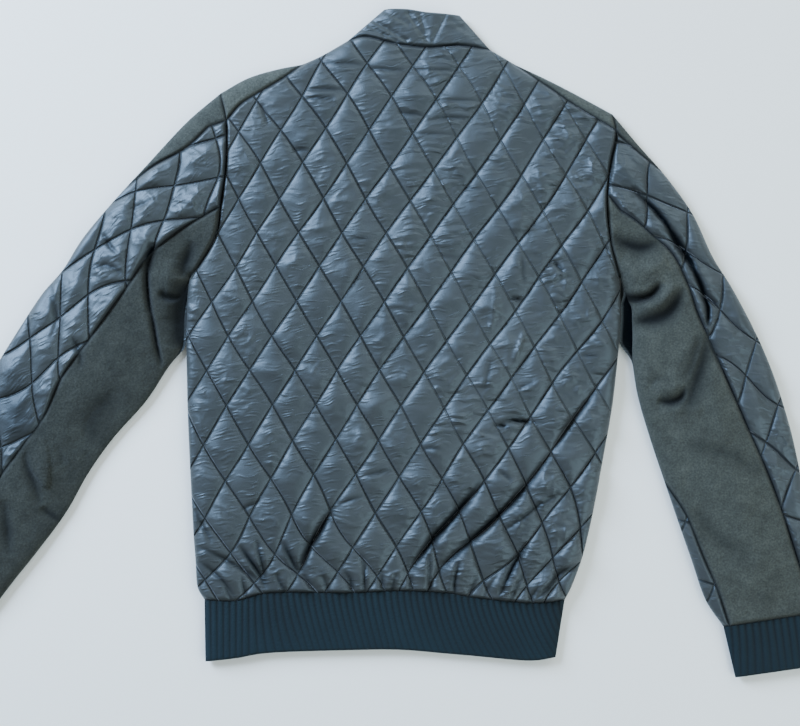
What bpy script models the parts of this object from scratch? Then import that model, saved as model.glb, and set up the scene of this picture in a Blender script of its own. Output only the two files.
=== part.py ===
"""Quilted bomber jacket lying flat on a surface, its back up.

The tables and sizes are in millimetres: +X to the right across the back, +Y from hem to collar, +Z up from
the surface. A panel is a wall of cloth between two sheets, each triangulated over the panel's own outline.
"""

import math

import bmesh
import bpy
import numpy as np
from mathutils import Matrix, geometry

# Middle of the jacket's outline in the coordinates of the tables, which becomes the origin
ORIGIN = np.array([0.0, 3.2, 0.0])

# Driving sizes, mm
GAP = 0.3
BAND_GAP = 0.4
UNDER_WALL = 4.0
SIDE_SEAM_Z = 5.5
INSIDE_Z = 7.4
STITCH_Z = 11.0
PUFF = 6.5
FLEECE_Z = 12.5
EDGE_WALL = 3.5
EDGE_ROUND = 16.0
UNDER_ROUND = 10.0
SEAM_Z = 9.6
SEAM_DIP_WIDTH = 6.0

# Stitched diamonds, mm: width across, length along, and places of the first crossing
DIAMOND_WIDE = 48.8
DIAMOND_LONG = 75.5
DIAMOND_PARTS = 3
BACK_FIRST = (-32.5, 317.0)
BACK_DRIFT = 0.9
BACK_TILT = 0.07
BACK_TILT_FROM = 66.0
SLEEVE_QUILTS = {
    "left": {"along": 35.0, "step": 38.6, "across": 23.5, "slide": 3.4, "half": 24.6},
    "right": {"along": 67.2, "step": 39.2, "across": 9.0, "slide": 0.0, "half": 22.4},
}

# Bands, the narrowest strip as a share of its sleeve, and the front zip, mm
RIBS_ACROSS_HEM = 56
RIBS_ACROSS_CUFF = 14
RIB_LEVELS = {"top": 9.3, "inside": 6.8, "rib": 1.2, "crown": 0.0, "rows": 2}
COLLAR_LEVELS = {"top": SEAM_Z, "inside": INSIDE_Z, "rib": 0.0, "crown": 3.0, "rows": 5}
LEAST_STRIP = 0.012
ZIP_EDGE = 5.0
TAPE_WIDE = 13.0
TAPE_THICK = 0.8
CHAIN_WIDE = 5.2
CHAIN_THICK = 2.4
CHAIN_Z = 4.7
SLIDER = {"wide": 9.0, "long": 12.0, "plate": 0.9, "under_z": 2.3, "over_z": 6.2}
BRIDGE = {"wide": 1.8, "long": 6.0, "low_z": 0.4, "bar": 0.6, "foot": 0.9}
TAB = {"wide": 7.0, "long": 27.0, "thick": 0.9, "window": 4.2, "window_wide": 3.0, "rod": 0.8, "z": 1.65}

# Samples along shared seams
HEM_SAMPLES = RIBS_ACROSS_HEM + 1
SIDE_SAMPLES = 25
ARMHOLE_SAMPLES = 21
SHOULDER_SAMPLES = 5
WRAP_SAMPLES = 9
NECK_SAMPLES = 19
SLEEVE_SAMPLES = 34
GRID_FLEECE = 11.0
GRID_PLAIN = 34.0


def table(columns, *rows):
    """A small table as one array for each named column."""
    return dict(zip(columns.split(), np.array(rows, float).T))


BODY = table(
    "y left right",
    (-284.5, -164.6, 239.7),
    (-269.9, -172.5, 247.5),
    (-239.7, -174.7, 258.7),
    (-209.4, -177.0, 266.6),
    (-166.9, -179.2, 275.5),
    (-123.2, -181.4, 283.4),
    (-66.1, -183.7, 293.4),
    (-4.5, -184.8, 300.2),
    (31.4, -184.8, 302.4),
    (66.1, -183.1, 301.8),
    (78.4, -180.3, 300.7),
)
HEM = table(
    "x seam free",
    (-164.6, -284.5, -353.9),
    (-128.8, -285.6, -350.0),
    (-90.7, -276.6, -344.0),
    (-3.4, -276.6, -341.0),
    (53.8, -274.4, -340.5),
    (107.5, -276.6, -344.8),
    (140.0, -282.2, -347.5),
    (203.8, -288.0, -352.8),
    (239.7, -284.5, -350.6),
)
ARMHOLES = {
    "left": table(
        "x y",
        (-146.7, 283.4),
        (-140.0, 250.9),
        (-140.0, 203.8),
        (-145.6, 160.2),
        (-151.2, 124.3),
        (-169.1, 91.8),
        (-180.3, 78.4),
    ),
    "right": table(
        "x y",
        (293.4, 259.8),
        (296.8, 237.4),
        (291.2, 205.0),
        (286.7, 160.2),
        (290.1, 125.4),
        (294.6, 100.8),
        (300.7, 78.4),
    ),
}
# Where the two seams of a sleeve leave its armhole, as places from 0 at the shoulder to 1 at the armpit
CAP_AT = {"left": 0.15, "right": 0.10}
BACK_AT = {"left": 0.60, "right": 0.50}
SHOULDERS = {
    "left": {
        "neck": table("x y", (-3.4, 342.7), (-32.5, 325.9), (-54.9, 315.8)),
        "edge": table("x y", (-54.9, 315.8), (-84.0, 310.2), (-116.5, 300.2), (-146.7, 283.4)),
        "seam": table("x y", (-54.9, 315.8), (-76.2, 300.2), (-101.9, 284.5), (-123.2, 271.0), (-140.0, 253.0)),
    },
    "right": {
        "neck": table("x y", (155.7, 332.6), (174.7, 321.4), (183.7, 315.8)),
        "edge": table("x y", (183.7, 315.8), (226.2, 295.7), (268.8, 273.3), (293.4, 259.8)),
        "seam": table("x y", (183.7, 315.8), (217.3, 293.4), (247.5, 272.2), (268.8, 258.7), (295.5, 246.0)),
    },
}
COLLAR_BACK = table(
    "x seam free",
    (0.0, 342.7, 377.4),
    (0.12, 347.0, 378.2),
    (0.32, 339.5, 377.6),
    (0.55, 334.9, 374.5),
    (0.8, 336.5, 372.6),
    (1.0, 332.6, 370.7),
)
COLLAR_FRONT = table(
    "x seam free",
    (0.0, 342.7, 377.4),
    (0.12, 303.0, 350.0),
    (0.32, 275.0, 325.0),
    (0.5, 267.7, 317.0),
    (0.72, 277.0, 325.0),
    (0.9, 303.0, 347.0),
    (1.0, 332.6, 370.7),
)
COLLAR_ENDS = {"seam": (-3.4, 155.7), "free": (37.0, 122.1)}
ZIP_LINE = {"hem": (34.7, -341.0), "neck": (76.2, 317.0)}

# A row for each cross-cut of a sleeve: its outer and inner edge, and its seams as places between the two.
# cap is the fleece that comes over the shoulder, back the seam of the quilted strip, inner the inseam's.
SLEEVE_COLUMNS = "ox oy ix iy cap back inner"
SLEEVES = {
    "left": table(
        SLEEVE_COLUMNS,
        (-146.7, 283.4, -180.3, 78.4, 0.15, 0.61, 1),
        (-184.8, 250.9, -185.9, 60.5, 0.155, 0.62, 1),
        (-229.6, 202.7, -187.6, 44.8, 0.036, 0.54, 1),
        (-267.7, 161.3, -188.2, 26.9, 0, 0.48, 1),
        (-301.3, 121.0, -189.3, 1.1, 0, 0.46, 1),
        (-323.7, 85.1, -207.2, -26.9, 0, 0.445, 1),
        (-346.1, 59.4, -230.7, -62.7, 0, 0.45, 1),
        (-370.7, 22.4, -266.6, -103.0, 0, 0.46, 1),
        (-393.1, -13.4, -294.6, -142.2, 0, 0.51, 1),
        (-417.8, -54.9, -319.2, -185.9, 0, 0.475, 1),
        (-449.1, -113.1, -350.6, -228.5, 0, 0.45, 1),
        (-477.1, -169.1, -377.4, -262.1, 0, 0.45, 1),
        (-502.9, -220.6, -402.1, -294.6, 0, 0.45, 1),
    ),
    "right": table(
        SLEEVE_COLUMNS,
        (293.4, 259.8, 300.7, 78.4, 0.10, 0.47, 1),
        (322.6, 225.1, 310.2, 52.6, 0.045, 0.487, 1),
        (355.0, 188.2, 314.7, 42.6, 0, 0.445, 1),
        (384.2, 146.7, 315.3, 26.9, 0, 0.365, 1),
        (405.4, 100.8, 315.8, 9.0, 0, 0.33, 1),
        (429.0, 62.7, 315.8, -15.7, 0, 0.36, 1),
        (454.7, 13.4, 321.4, -54.9, 0, 0.35, 1),
        (473.8, -31.4, 334.9, -101.9, 0, 0.335, 1),
        (490.6, -84.0, 350.6, -149.0, 0, 0.3, 1),
        (501.8, -131.0, 365.1, -191.5, 0, 0.25, 0.93),
        (511.8, -185.9, 381.9, -239.7, 0, 0.2, 0.905),
        (520.8, -244.2, 397.6, -284.5, 0, 0.145, 0.875),
        (527.5, -297.9, 417.8, -314.7, 0, 0.1, 0.94),
    ),
}
CUFF_ENDS = {
    "left": {"outer": (-539.8, -269.9), "inner": (-439.0, -343.8)},
    "right": {"outer": (539.8, -356.2), "inner": (431.2, -371.8)},
}
UNDER_SEAM = 0.5
# A point well inside the body, the hem band and the collar
BODY_MIDDLE = (50.0, 60.0)
HEM_MIDDLE = (40.0, -315.0)
NECK_MIDDLE = (76.0, 350.0)

# The largest folds: a line of three points, how far the cloth rises (or sinks) on it, and its half width
FOLDS = table(
    "x0 y0 x1 y1 x2 y2 rise width",
    (-62.7, -265.0, -46.0, -226.0, -22.4, -181.0, -3.0, 9.0),
    (65.0, -254.0, 117.6, -188.0, 149.0, -151.0, -3.5, 9.0),
    (96.3, -252.0, 185.0, -158.0, 274.0, -49.0, -3.5, 9.0),
    (-225.0, 107.0, -226.0, 65.0, -213.0, -25.0, -3.0, 10.0),
    (-200.0, 90.0, -203.0, 40.0, -205.0, 10.0, 5.0, 16.0),
    (335.0, 50.0, 360.0, 38.0, 372.0, 60.0, 5.0, 14.0),
    (393.0, 20.0, 374.0, -40.0, 343.0, -60.0, -3.0, 12.0),
    (395.0, -70.0, 375.0, -64.0, 345.0, -68.0, 4.5, 14.0),
    (380.0, -103.0, 410.0, -112.0, 441.0, -128.0, -2.5, 16.0),
    (391.0, -184.0, 430.0, -210.0, 470.0, -240.0, -2.0, 18.0),
    (-310.0, -214.0, -302.0, -225.0, -286.0, -240.0, -2.5, 10.0),
)


def curve_through(points, count):
    """Evenly spaced points on a Catmull-Rom curve through the given ones, rows of any width."""
    given = np.asarray(points, float)
    ends = np.vstack([2 * given[0] - given[1], given, 2 * given[-1] - given[-2]])
    t = np.linspace(0, 1, 16, endpoint=False)[:, None]
    spans = []
    for a, b, c, d in zip(ends, ends[1:], ends[2:], ends[3:]):
        cubic = (3 * b - a - 3 * c + d) * t**3
        spans.append(0.5 * (2 * b + (c - a) * t + (2 * a - 5 * b + 4 * c - d) * t**2 + cubic))
    dense = np.vstack(spans + [given[-1:]])
    run = lengths_along(dense)
    wanted = np.linspace(0, run[-1], count)
    return np.column_stack([np.interp(wanted, run, column) for column in dense.T])


def lengths_along(points):
    return np.concatenate([[0], np.cumsum(np.linalg.norm(np.diff(points, axis=0), axis=1))])


def columns_of(rows, *names):
    return np.column_stack([rows[name] for name in names])


def nearest(points, line):
    """Distance to a line of points, the length along it there, and the line's normal, turned smoothly at corners."""
    start, step = line[:-1], np.diff(line, axis=0)
    size = np.linalg.norm(step, axis=1)
    to = points[:, None, :] - start[None]
    share = np.clip((to * step).sum(2) / size**2, 0, 1)
    away = to - share[..., None] * step
    far = np.linalg.norm(away, axis=2)
    best = far.argmin(1)
    pick = np.arange(len(points))
    share = share[pick, best]
    run = lengths_along(line)[best] + share * size[best]
    square = np.column_stack([-step[:, 1], step[:, 0]]) / size[:, None]
    corner = np.vstack([square[:1], square[1:] + square[:-1], square[-1:]])
    corner /= np.linalg.norm(corner, axis=1)[:, None]
    normal = corner[best] * (1 - share)[:, None] + corner[best + 1] * share[:, None]
    return far[pick, best], run, normal / np.linalg.norm(normal, axis=1)[:, None]


def inside(points, outline):
    """Whether each point is in the outline, by counting the sides that cross its row."""
    x, y = points[:, :1], points[:, 1:]
    ax, ay = outline.T
    bx, by = np.roll(outline, -1, 0).T
    crosses = (ay > y) != (by > y)
    at = ax + (y - ay) / np.where(by == ay, 1, by - ay) * (bx - ax)
    return (crosses & (x < at)).sum(1) % 2 == 1


def rounding(share):
    """A quarter of an ellipse: 0 at an edge, 1 from a share of 1 inwards."""
    return np.sqrt(1 - (1 - np.clip(share, 0, 1)) ** 2)


def fold_relief(points):
    """How far the largest folds lift or sink the outside of the cloth at each point."""
    total = np.zeros(len(points))
    for x0, y0, x1, y1, x2, y2, rise, width in zip(*FOLDS.values()):
        line = curve_through([(x0, y0), (x1, y1), (x2, y2)], 9)
        far, run, _ = nearest(points, line)
        ends = np.sin(math.pi * np.clip(run / lengths_along(line)[-1], 0.08, 0.92))
        total += rise * ends * np.exp(-((far / width) ** 2))
    return total


def back_quilt(a, b):
    """Place of a crossing of the back's stitch lines; a and b count the lines of each slope."""
    across, row = (a + b) / 2, a - b
    x = BACK_FIRST[0] + DIAMOND_WIDE * across - BACK_DRIFT * row
    tilt = BACK_TILT * np.maximum(x - BACK_TILT_FROM, 0)
    return np.column_stack([x, BACK_FIRST[1] - DIAMOND_LONG / 2 * row - 0.09 * row**2 - tilt])


def sleeve_quilt(side, outer):
    """Crossings of a sleeve's stitch lines, measured along and in from its outer edge."""
    q = SLEEVE_QUILTS[side]
    line = outer if side == "left" else outer * (-1, 1)
    run = lengths_along(line)
    turn = np.gradient(line, run, axis=0)
    normal = np.column_stack([-turn[:, 1], turn[:, 0]])

    def place(a, b):
        along = q["along"] + q["step"] * (a - b)
        across = q["across"] + q["slide"] * (a - b) + q["half"] * (a + b)
        here = np.column_stack([np.interp(along, run, c) for c in (*line.T, *normal.T)])
        keep = (along > run[0]) & (along < run[-1])
        found = here[:, :2] + across[:, None] * here[:, 2:]
        found[~keep] = 1e6
        return found if side == "left" else found * (-1, 1)

    return place


def quilt_points(place, outline):
    """Raised points inside the diamonds and low ones on the stitch lines, as x, y and rise."""
    steps = np.arange(-40 * DIAMOND_PARTS, 40 * DIAMOND_PARTS + 1) / DIAMOND_PARTS
    a, b = (grid.ravel() for grid in np.meshgrid(steps, steps))
    near = (np.abs(a - b) < 32) & (np.abs(a + b) < 40)
    a, b = a[near], b[near]
    spot = place(a, b)
    bulge = np.abs(np.sin(math.pi * a) * np.sin(math.pi * b)) ** 0.7
    kept = inside(spot, outline)
    return np.column_stack([spot[kept], PUFF * bulge[kept]])


def grid_points(outline, pitch):
    """Points in staggered rows over the outline, with no rise of their own."""
    low, high = outline.min(0), outline.max(0)
    x, y = np.meshgrid(np.arange(low[0], high[0], pitch), np.arange(low[1], high[1], pitch * 0.87))
    x = x + (np.arange(len(x)) % 2)[:, None] * pitch / 2
    spot = np.column_stack([x.ravel(), y.ravel()])
    spot = spot[inside(spot, outline)]
    return np.column_stack([spot, np.zeros(len(spot))])


class Outline:
    """A panel's closed outline: points, and whether each lies on an edge where the cloth turns under."""

    def __init__(self, *stretches, hold=None):
        points, on_edge = [], []
        for stretch, kind in stretches:
            for point in stretch:
                if points and np.linalg.norm(point - points[-1]) < 0.6:
                    on_edge[-1] = on_edge[-1] or kind == "edge"
                    continue
                points.append(np.array(point, float))
                on_edge.append(kind == "edge")
        if np.linalg.norm(points[0] - points[-1]) < 0.6:
            on_edge[0] = on_edge[0] or on_edge[-1]
            points, on_edge = points[:-1], on_edge[:-1]
        self.points, self.on_edge = np.array(points), np.array(on_edge)
        (ax, ay), (bx, by) = self.points.T, np.roll(self.points, -1, 0).T
        if (ax * by - bx * ay).sum() < 0:
            self.points, self.on_edge = self.points[::-1], self.on_edge[::-1]
        self.draw_in(hold)

    def draw_in(self, hold):
        """Moves the seams half a gap inwards, and leaves the turned edges where they are."""
        step = np.roll(self.points, -1, 0) - self.points
        normal = np.column_stack([-step[:, 1], step[:, 0]]) / np.linalg.norm(step, axis=1)[:, None]
        sewn = ~(self.on_edge & np.roll(self.on_edge, -1))
        pull = normal * sewn[:, None]
        both = pull + np.roll(pull, 1, 0)
        size = np.linalg.norm(both, axis=1)
        both[size > 0] /= size[size > 0][:, None]
        if hold is not None:
            both[np.linalg.norm(self.points - hold, axis=1) < 0.6] = 0
        self.points = self.points + both * GAP / 2

    def ring(self):
        return np.vstack([self.points, self.points[:1]])

    def sewn_sides(self):
        """The two ends of each side that isn't on a turned edge."""
        sewn = ~(self.on_edge & np.roll(self.on_edge, -1))
        return self.points[sewn], np.roll(self.points, -1, 0)[sewn]


class Edges:
    """The turned edges that a panel lies between, each with its inside on the side of a middle point."""

    def __init__(self, middle, *lines):
        self.lines = []
        for line in lines:
            spot = np.array([middle], float)
            far, _, normal = nearest(spot, line)
            faces_in = nearest(spot + normal, line)[0] > far
            self.lines.append(line if faces_in else line[::-1])

    def measure(self, points):
        """Distance inwards from the nearest edge, and the direction inwards there."""
        far = np.full(len(points), 1e9)
        way = np.zeros((len(points), 2))
        for line in self.lines:
            d, _, normal = nearest(points, line)
            closer = d < far
            far[closer], way[closer] = d[closer], normal[closer]
        return far, way


def seam_distance(points, outline):
    """Distance from each point to the nearest sewn side of the outline."""
    start, end = outline.sewn_sides()
    step = end - start
    to = points[:, None] - start[None]
    share = np.clip((to * step).sum(2) / (step**2).sum(1), 0, 1)
    return np.linalg.norm(to - share[..., None] * step, axis=2).min(1)


def new_material(name, colour, roughness, metallic=0.0):
    material = bpy.data.materials.new(name)
    material.use_nodes = True
    shader = material.node_tree.nodes["Principled BSDF"]
    shader.inputs["Base Color"].default_value = (*colour, 1)
    shader.inputs["Roughness"].default_value = roughness
    shader.inputs["Metallic"].default_value = metallic
    material.diffuse_color = (*colour, 1)
    return material


def finish(name, mesh_data, material):
    """Closes the mesh's joins, turns its faces out and places it in the scene."""
    bmesh.ops.remove_doubles(mesh_data, verts=mesh_data.verts, dist=1e-6)
    bmesh.ops.recalc_face_normals(mesh_data, faces=mesh_data.faces)
    if mesh_data.calc_volume(signed=True) < 0:
        bmesh.ops.reverse_faces(mesh_data, faces=mesh_data.faces)
    mesh = bpy.data.meshes.new(name)
    mesh_data.to_mesh(mesh)
    mesh_data.free()
    mesh.materials.append(material)
    mesh.shade_smooth()
    mesh.set_sharp_from_angle(angle=math.radians(40))
    piece = bpy.data.objects.new(name, mesh)
    bpy.context.scene.collection.objects.link(piece)
    return piece


def in_metres(mesh_data, points):
    """New vertices at places given in the tables' own coordinates."""
    return [mesh_data.verts.new(tuple(point)) for point in (np.asarray(points) - ORIGIN) / 1000]


def add_sheet(mesh_data, loop, extra):
    """Fills a closed loop of x, y, z points with triangles that also pass through the extra points."""
    points = np.vstack([loop, extra])
    sides = [(i, (i + 1) % len(loop)) for i in range(len(loop))]
    flat = [tuple(point) for point in points[:, :2]]
    found, _, faces, origin, _, _ = geometry.delaunay_2d_cdt(flat, sides, [], 1, 1e-5)
    places = [(*place, points[sources[0], 2]) for place, sources in zip(found, origin)]
    verts = in_metres(mesh_data, places)
    for face in faces:
        mesh_data.faces.new([verts[i] for i in face])


def add_ribbon(mesh_data, a, b, i, j):
    """Two triangles between two rows of points, split the same way on both sides of a seam."""
    if a[i].co.x + 0.4 * a[i].co.y > a[j].co.x + 0.4 * a[j].co.y:
        i, j = j, i
    mesh_data.faces.new((a[i], a[j], b[j]))
    mesh_data.faces.new((a[i], b[j], b[i]))


def add_rim(mesh_data, one, other, joined):
    """Joins two loops of the same count with a strip of faces, but for the sides that another sheet joins."""
    a, b = in_metres(mesh_data, one), in_metres(mesh_data, other)
    for i in range(len(a)):
        if not joined[i]:
            add_ribbon(mesh_data, a, b, i, (i + 1) % len(a))


def outside_z(points, rise, outline, edges, on_top, level, on_edge=False):
    """Height of the outside of a wall: rounded to its turned edges and drawn down at its seams."""
    far = np.where(on_edge, 0, edges.measure(points)[0])
    if not on_top:
        return SIDE_SEAM_Z * (1 - rounding(far / UNDER_ROUND))
    dip = np.exp(-((seam_distance(points, outline) / SEAM_DIP_WIDTH) ** 2))
    high = SEAM_Z * dip + (level + rise + fold_relief(points)) * (1 - dip)
    return SIDE_SEAM_Z + (high - SIDE_SEAM_Z) * rounding(far / EDGE_ROUND)


def inside_points(points, edges, on_top, on_edge=False):
    """The plain inside of a wall: the same points, drawn in from the turned edges by the wall's width."""
    reach, level = (EDGE_ROUND, INSIDE_Z) if on_top else (UNDER_ROUND, UNDER_WALL)
    far, way = edges.measure(points)
    far = np.where(on_edge, 0, far)
    moved = points + way * (EDGE_WALL * np.clip(1 - far / reach, 0, 1))[:, None]
    return np.column_stack([moved, SIDE_SEAM_Z + (level - SIDE_SEAM_Z) * rounding(far / reach)])


def edge_rows(outline, edges, distances):
    """Rows of points a little way in from a turned edge, so that it rounds down."""
    start = outline.points[outline.on_edge]
    if not len(start):
        return np.zeros((0, 3))
    _, way = edges.measure(start)
    rows = np.vstack([start + way * distance for distance in distances])
    return np.column_stack([rows, np.zeros(len(rows))])


def clear_of(points, outline, margin):
    """The points that lie in the outline and at least the margin from its sides."""
    points = points[inside(points[:, :2], outline.points)]
    if not len(points):
        return points
    return points[nearest(points[:, :2], outline.ring())[0] > margin]


def add_wall(mesh_data, outline, edges, on_top, level, raised, shared):
    """Adds a wall over an outline; shared marks the edge points where the cloth goes on to another wall."""
    parted = np.where(outline.on_edge & ~shared, GAP / 2 if on_top else -GAP / 2, 0)
    loop = outline.points
    on_edge = outline.on_edge
    outer = np.column_stack([loop, outside_z(loop, 0, outline, edges, on_top, level, on_edge) + parted])
    inner = inside_points(loop, edges, on_top, on_edge)
    inner[:, 2] += parted
    rows = clear_of(edge_rows(outline, edges, (3.0, 8.5) if on_top else (4.5,)), outline, 2.5)
    raised = clear_of(raised, outline, 3.5)
    if len(rows) and len(raised):
        raised = raised[np.linalg.norm(raised[:, None, :2] - rows[None, :, :2], axis=2).min(1) > 3.5]
    spots = np.vstack([raised, rows])
    plain = clear_of(grid_points(loop, GRID_PLAIN), outline, 7)[:, :2]
    z = outside_z(spots[:, :2], spots[:, 2], outline, edges, on_top, level)
    add_sheet(mesh_data, outer, np.column_stack([spots[:, :2], z]))
    add_sheet(mesh_data, inner, inside_points(plain, edges, on_top))
    add_rim(mesh_data, outer, inner, shared & np.roll(shared, -1))


def panel(name, material, outline, edges, on_top, level, raised, turned=None):
    """A wall of cloth; turned is the outline of the part of it that comes round an edge to the other side."""
    mesh_data = bmesh.new()
    shared = np.zeros(len(outline.points), bool)
    if turned is not None:
        apart = np.linalg.norm(outline.points[:, None] - turned.points[None], axis=2)
        shared = (apart.min(1) < 1e-6) & outline.on_edge
        shared_there = (apart.min(0) < 1e-6) & turned.on_edge
        around = grid_points(turned.points, GRID_FLEECE)
        add_wall(mesh_data, turned, edges, not on_top, level, around, shared_there)
    add_wall(mesh_data, outline, edges, on_top, level, raised, shared)
    return finish(name, mesh_data, material)


def zip_frame():
    """The zip's lower end, its direction up the front and the direction to its right."""
    low, high = np.array(ZIP_LINE["hem"]), np.array(ZIP_LINE["neck"])
    along = (high - low) / np.linalg.norm(high - low)
    return low, along, np.array([along[1], -along[0]])


def beside_zip(points):
    """How far each point lies to the right of the zip's middle."""
    low, _, across = zip_frame()
    return (np.atleast_2d(points) - low) @ across


def at_zip(line, offset):
    """Where a line that runs from left to right crosses the line beside the zip."""
    return np.array([np.interp(offset, beside_zip(line), column) for column in line.T])


def band(name, material, edges, back, front, levels, zipped=False):
    """A flattened tube of cloth, open at the zip or closed.

    back and front each hold two lines of points from the left end to the right: the seam and the free edge.
    levels holds its outer and inner height, the height of a rib, the rise at its middle and its rows of points.
    """
    last = len(back[0]) - 1
    over = [(back[0][i], back[1][i], True, i % 2) for i in range(last + 1)]
    under = [(front[0][i], front[1][i], False, 0) for i in range(last - 1, 0, -1)]
    if zipped:
        cuts = [(at_zip(front[0], s), at_zip(front[1], s), False, 0) for s in (-ZIP_EDGE, ZIP_EDGE)]
        left = [column for column in under if beside_zip(column[0]) < -ZIP_EDGE - 1]
        right = [column for column in under if beside_zip(column[0]) > ZIP_EDGE + 1]
        ring = [cuts[0], *left, *over, *right, cuts[1]]
    else:
        ring = over + under
    seam, free = (np.array([column[k] for column in ring]) for k in (0, 1))
    on_top, odd = (np.array([column[k] for column in ring]) for k in (2, 3))
    outer, inner = [], []
    for share in np.linspace(0, 1, levels["rows"]):
        pull = (free - seam) / np.linalg.norm(free - seam, axis=1)[:, None]
        spots = seam + (free - seam) * share + (pull * BAND_GAP if share == 0 else 0)
        far, way = edges.measure(spots)
        far = np.where(far < 0.6, 0, far)
        reach = np.where(on_top, EDGE_ROUND, UNDER_ROUND)
        curve = rounding(far / reach)
        high = levels["top"] + levels["rib"] * odd + levels["crown"] * math.sin(math.pi * share)
        z_out = SIDE_SEAM_Z + (np.where(on_top, high, 0) - SIDE_SEAM_Z) * curve
        z_in = SIDE_SEAM_Z + (np.where(on_top, levels["inside"], UNDER_WALL) - SIDE_SEAM_Z) * curve
        drawn = way * (EDGE_WALL * np.clip(1 - far / reach, 0, 1))[:, None]
        outer.append(np.column_stack([spots, z_out]))
        inner.append(np.column_stack([spots + drawn, z_in]))
    mesh_data = bmesh.new()
    out_rows = [in_metres(mesh_data, row) for row in outer]
    in_rows = [in_metres(mesh_data, row) for row in inner]
    around = len(ring) - 1 if zipped else len(ring)
    skin = out_rows + in_rows[::-1]
    for one, two in [*zip(skin, skin[1:]), (skin[0], skin[-1])]:
        for i in range(around):
            add_ribbon(mesh_data, one, two, i, (i + 1) % len(ring))
    if zipped:
        for i in (0, -1):
            for k in range(levels["rows"] - 1):
                mesh_data.faces.new((out_rows[k][i], out_rows[k + 1][i], in_rows[k + 1][i], in_rows[k][i]))
    return finish(name, mesh_data, material)


def add_block(mesh_data, low, high):
    """A box from its lowest to its highest corner."""
    size, middle = np.subtract(high, low) / 1000, np.add(high, low) / 2000
    place = Matrix.Translation(middle) @ Matrix.Diagonal((*size, 1))
    bmesh.ops.create_cube(mesh_data, size=1, matrix=place)


def joined_blocks(name, material, blocks):
    """Boxes joined into one solid by exact unions, from a list of lowest and highest corners."""
    pieces = []
    for number, (low, high) in enumerate(blocks):
        mesh_data = bmesh.new()
        add_block(mesh_data, low, high)
        pieces.append(finish(name if number == 0 else f"{name}_part{number}", mesh_data, material))
    body = pieces[0]
    for other in pieces[1:]:
        union = body.modifiers.new("Join", "BOOLEAN")
        union.operation = "UNION"
        union.solver = "EXACT"
        union.object = other
        other.hide_render = True
        other.display_type = "WIRE"
        other.hide_set(True)
    return pieces


def halved(line):
    """The same line of points with one more halfway along each of its sides."""
    both = np.empty((2 * len(line) - 1, line.shape[1]))
    both[::2] = line
    both[1::2] = (line[1:] + line[:-1]) / 2
    return both


def sleeve_rows(side):
    """A sleeve's cross-cuts, evenly spaced, from its armhole to its cuff."""
    rows = curve_through(np.column_stack(list(SLEEVES[side].values())), SLEEVE_SAMPLES)
    hole = columns_of(ARMHOLES[side], "x", "y")
    rows[0, :2], rows[0, 2:4] = hole[0], hole[-1]
    return rows


def collar_lines():
    """The collar's seam and free edge, over the back and under at the front, from left to right."""
    lines = {}
    for side, rows in (("back", COLLAR_BACK), ("front", COLLAR_FRONT)):
        lines[side] = []
        for name in ("seam", "free"):
            first, last = COLLAR_ENDS[name]
            places = np.column_stack([first + (last - first) * rows["x"], rows[name]])
            lines[side].append(curve_through(places, NECK_SAMPLES))
    return lines


def side_lines(side, collar, hem_free):
    """The seams and turned edges of one side of the body, and the whole silhouette above and below its armpit."""
    parts, end = SHOULDERS[side], 0 if side == "left" else -1
    hole = curve_through(columns_of(ARMHOLES[side], "x", "y"), ARMHOLE_SAMPLES)
    cap = round(CAP_AT[side] * (ARMHOLE_SAMPLES - 1))
    over = columns_of(parts["seam"], "x", "y")
    over[-1] = hole[cap]
    neck = curve_through(columns_of(parts["neck"], "x", "y"), SHOULDER_SAMPLES)
    edge = curve_through(columns_of(parts["edge"], "x", "y"), WRAP_SAMPLES)
    flank = curve_through(columns_of(BODY, side, "y"), SIDE_SAMPLES)
    sleeve = sleeve_rows(side)[1:, :2]
    return {
        "hole": hole,
        "cap": cap,
        "back": round(BACK_AT[side] * (ARMHOLE_SAMPLES - 1)),
        "neck": neck,
        "edge": edge,
        "over": curve_through(over, WRAP_SAMPLES),
        "flank": flank,
        "top": np.vstack([collar["back"][1][end], neck, edge[1:], sleeve, CUFF_ENDS[side]["outer"]]),
        "low": np.vstack([hem_free[end], flank]),
    }


def build_front(side, lines, edges, hem, neckline, material):
    """One front, with the strip of it that comes over the shoulder onto the back."""
    sign = -1 if side == "left" else 1
    near_hem = hem[beside_zip(hem) * sign > ZIP_EDGE + 1][::-sign]
    near_neck = neckline[beside_zip(neckline) * sign > ZIP_EDGE + 1][::sign]
    outline = Outline(
        (near_hem, "seam"),
        ([at_zip(hem, sign * ZIP_EDGE), at_zip(neckline, sign * ZIP_EDGE)], "seam"),
        (near_neck, "seam"),
        (lines["neck"], "edge"),
        (lines["edge"], "edge"),
        (lines["hole"], "seam"),
        (lines["flank"][::-1], "edge"),
    )
    strip = Outline(
        (lines["edge"], "edge"),
        (lines["hole"][: lines["cap"] + 1], "seam"),
        (lines["over"][::-1], "seam"),
        hold=lines["edge"][0],
    )
    plain = grid_points(outline.points, GRID_PLAIN)
    panel(f"front_{side}", material, outline, edges, False, FLEECE_Z, plain, strip)


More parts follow.
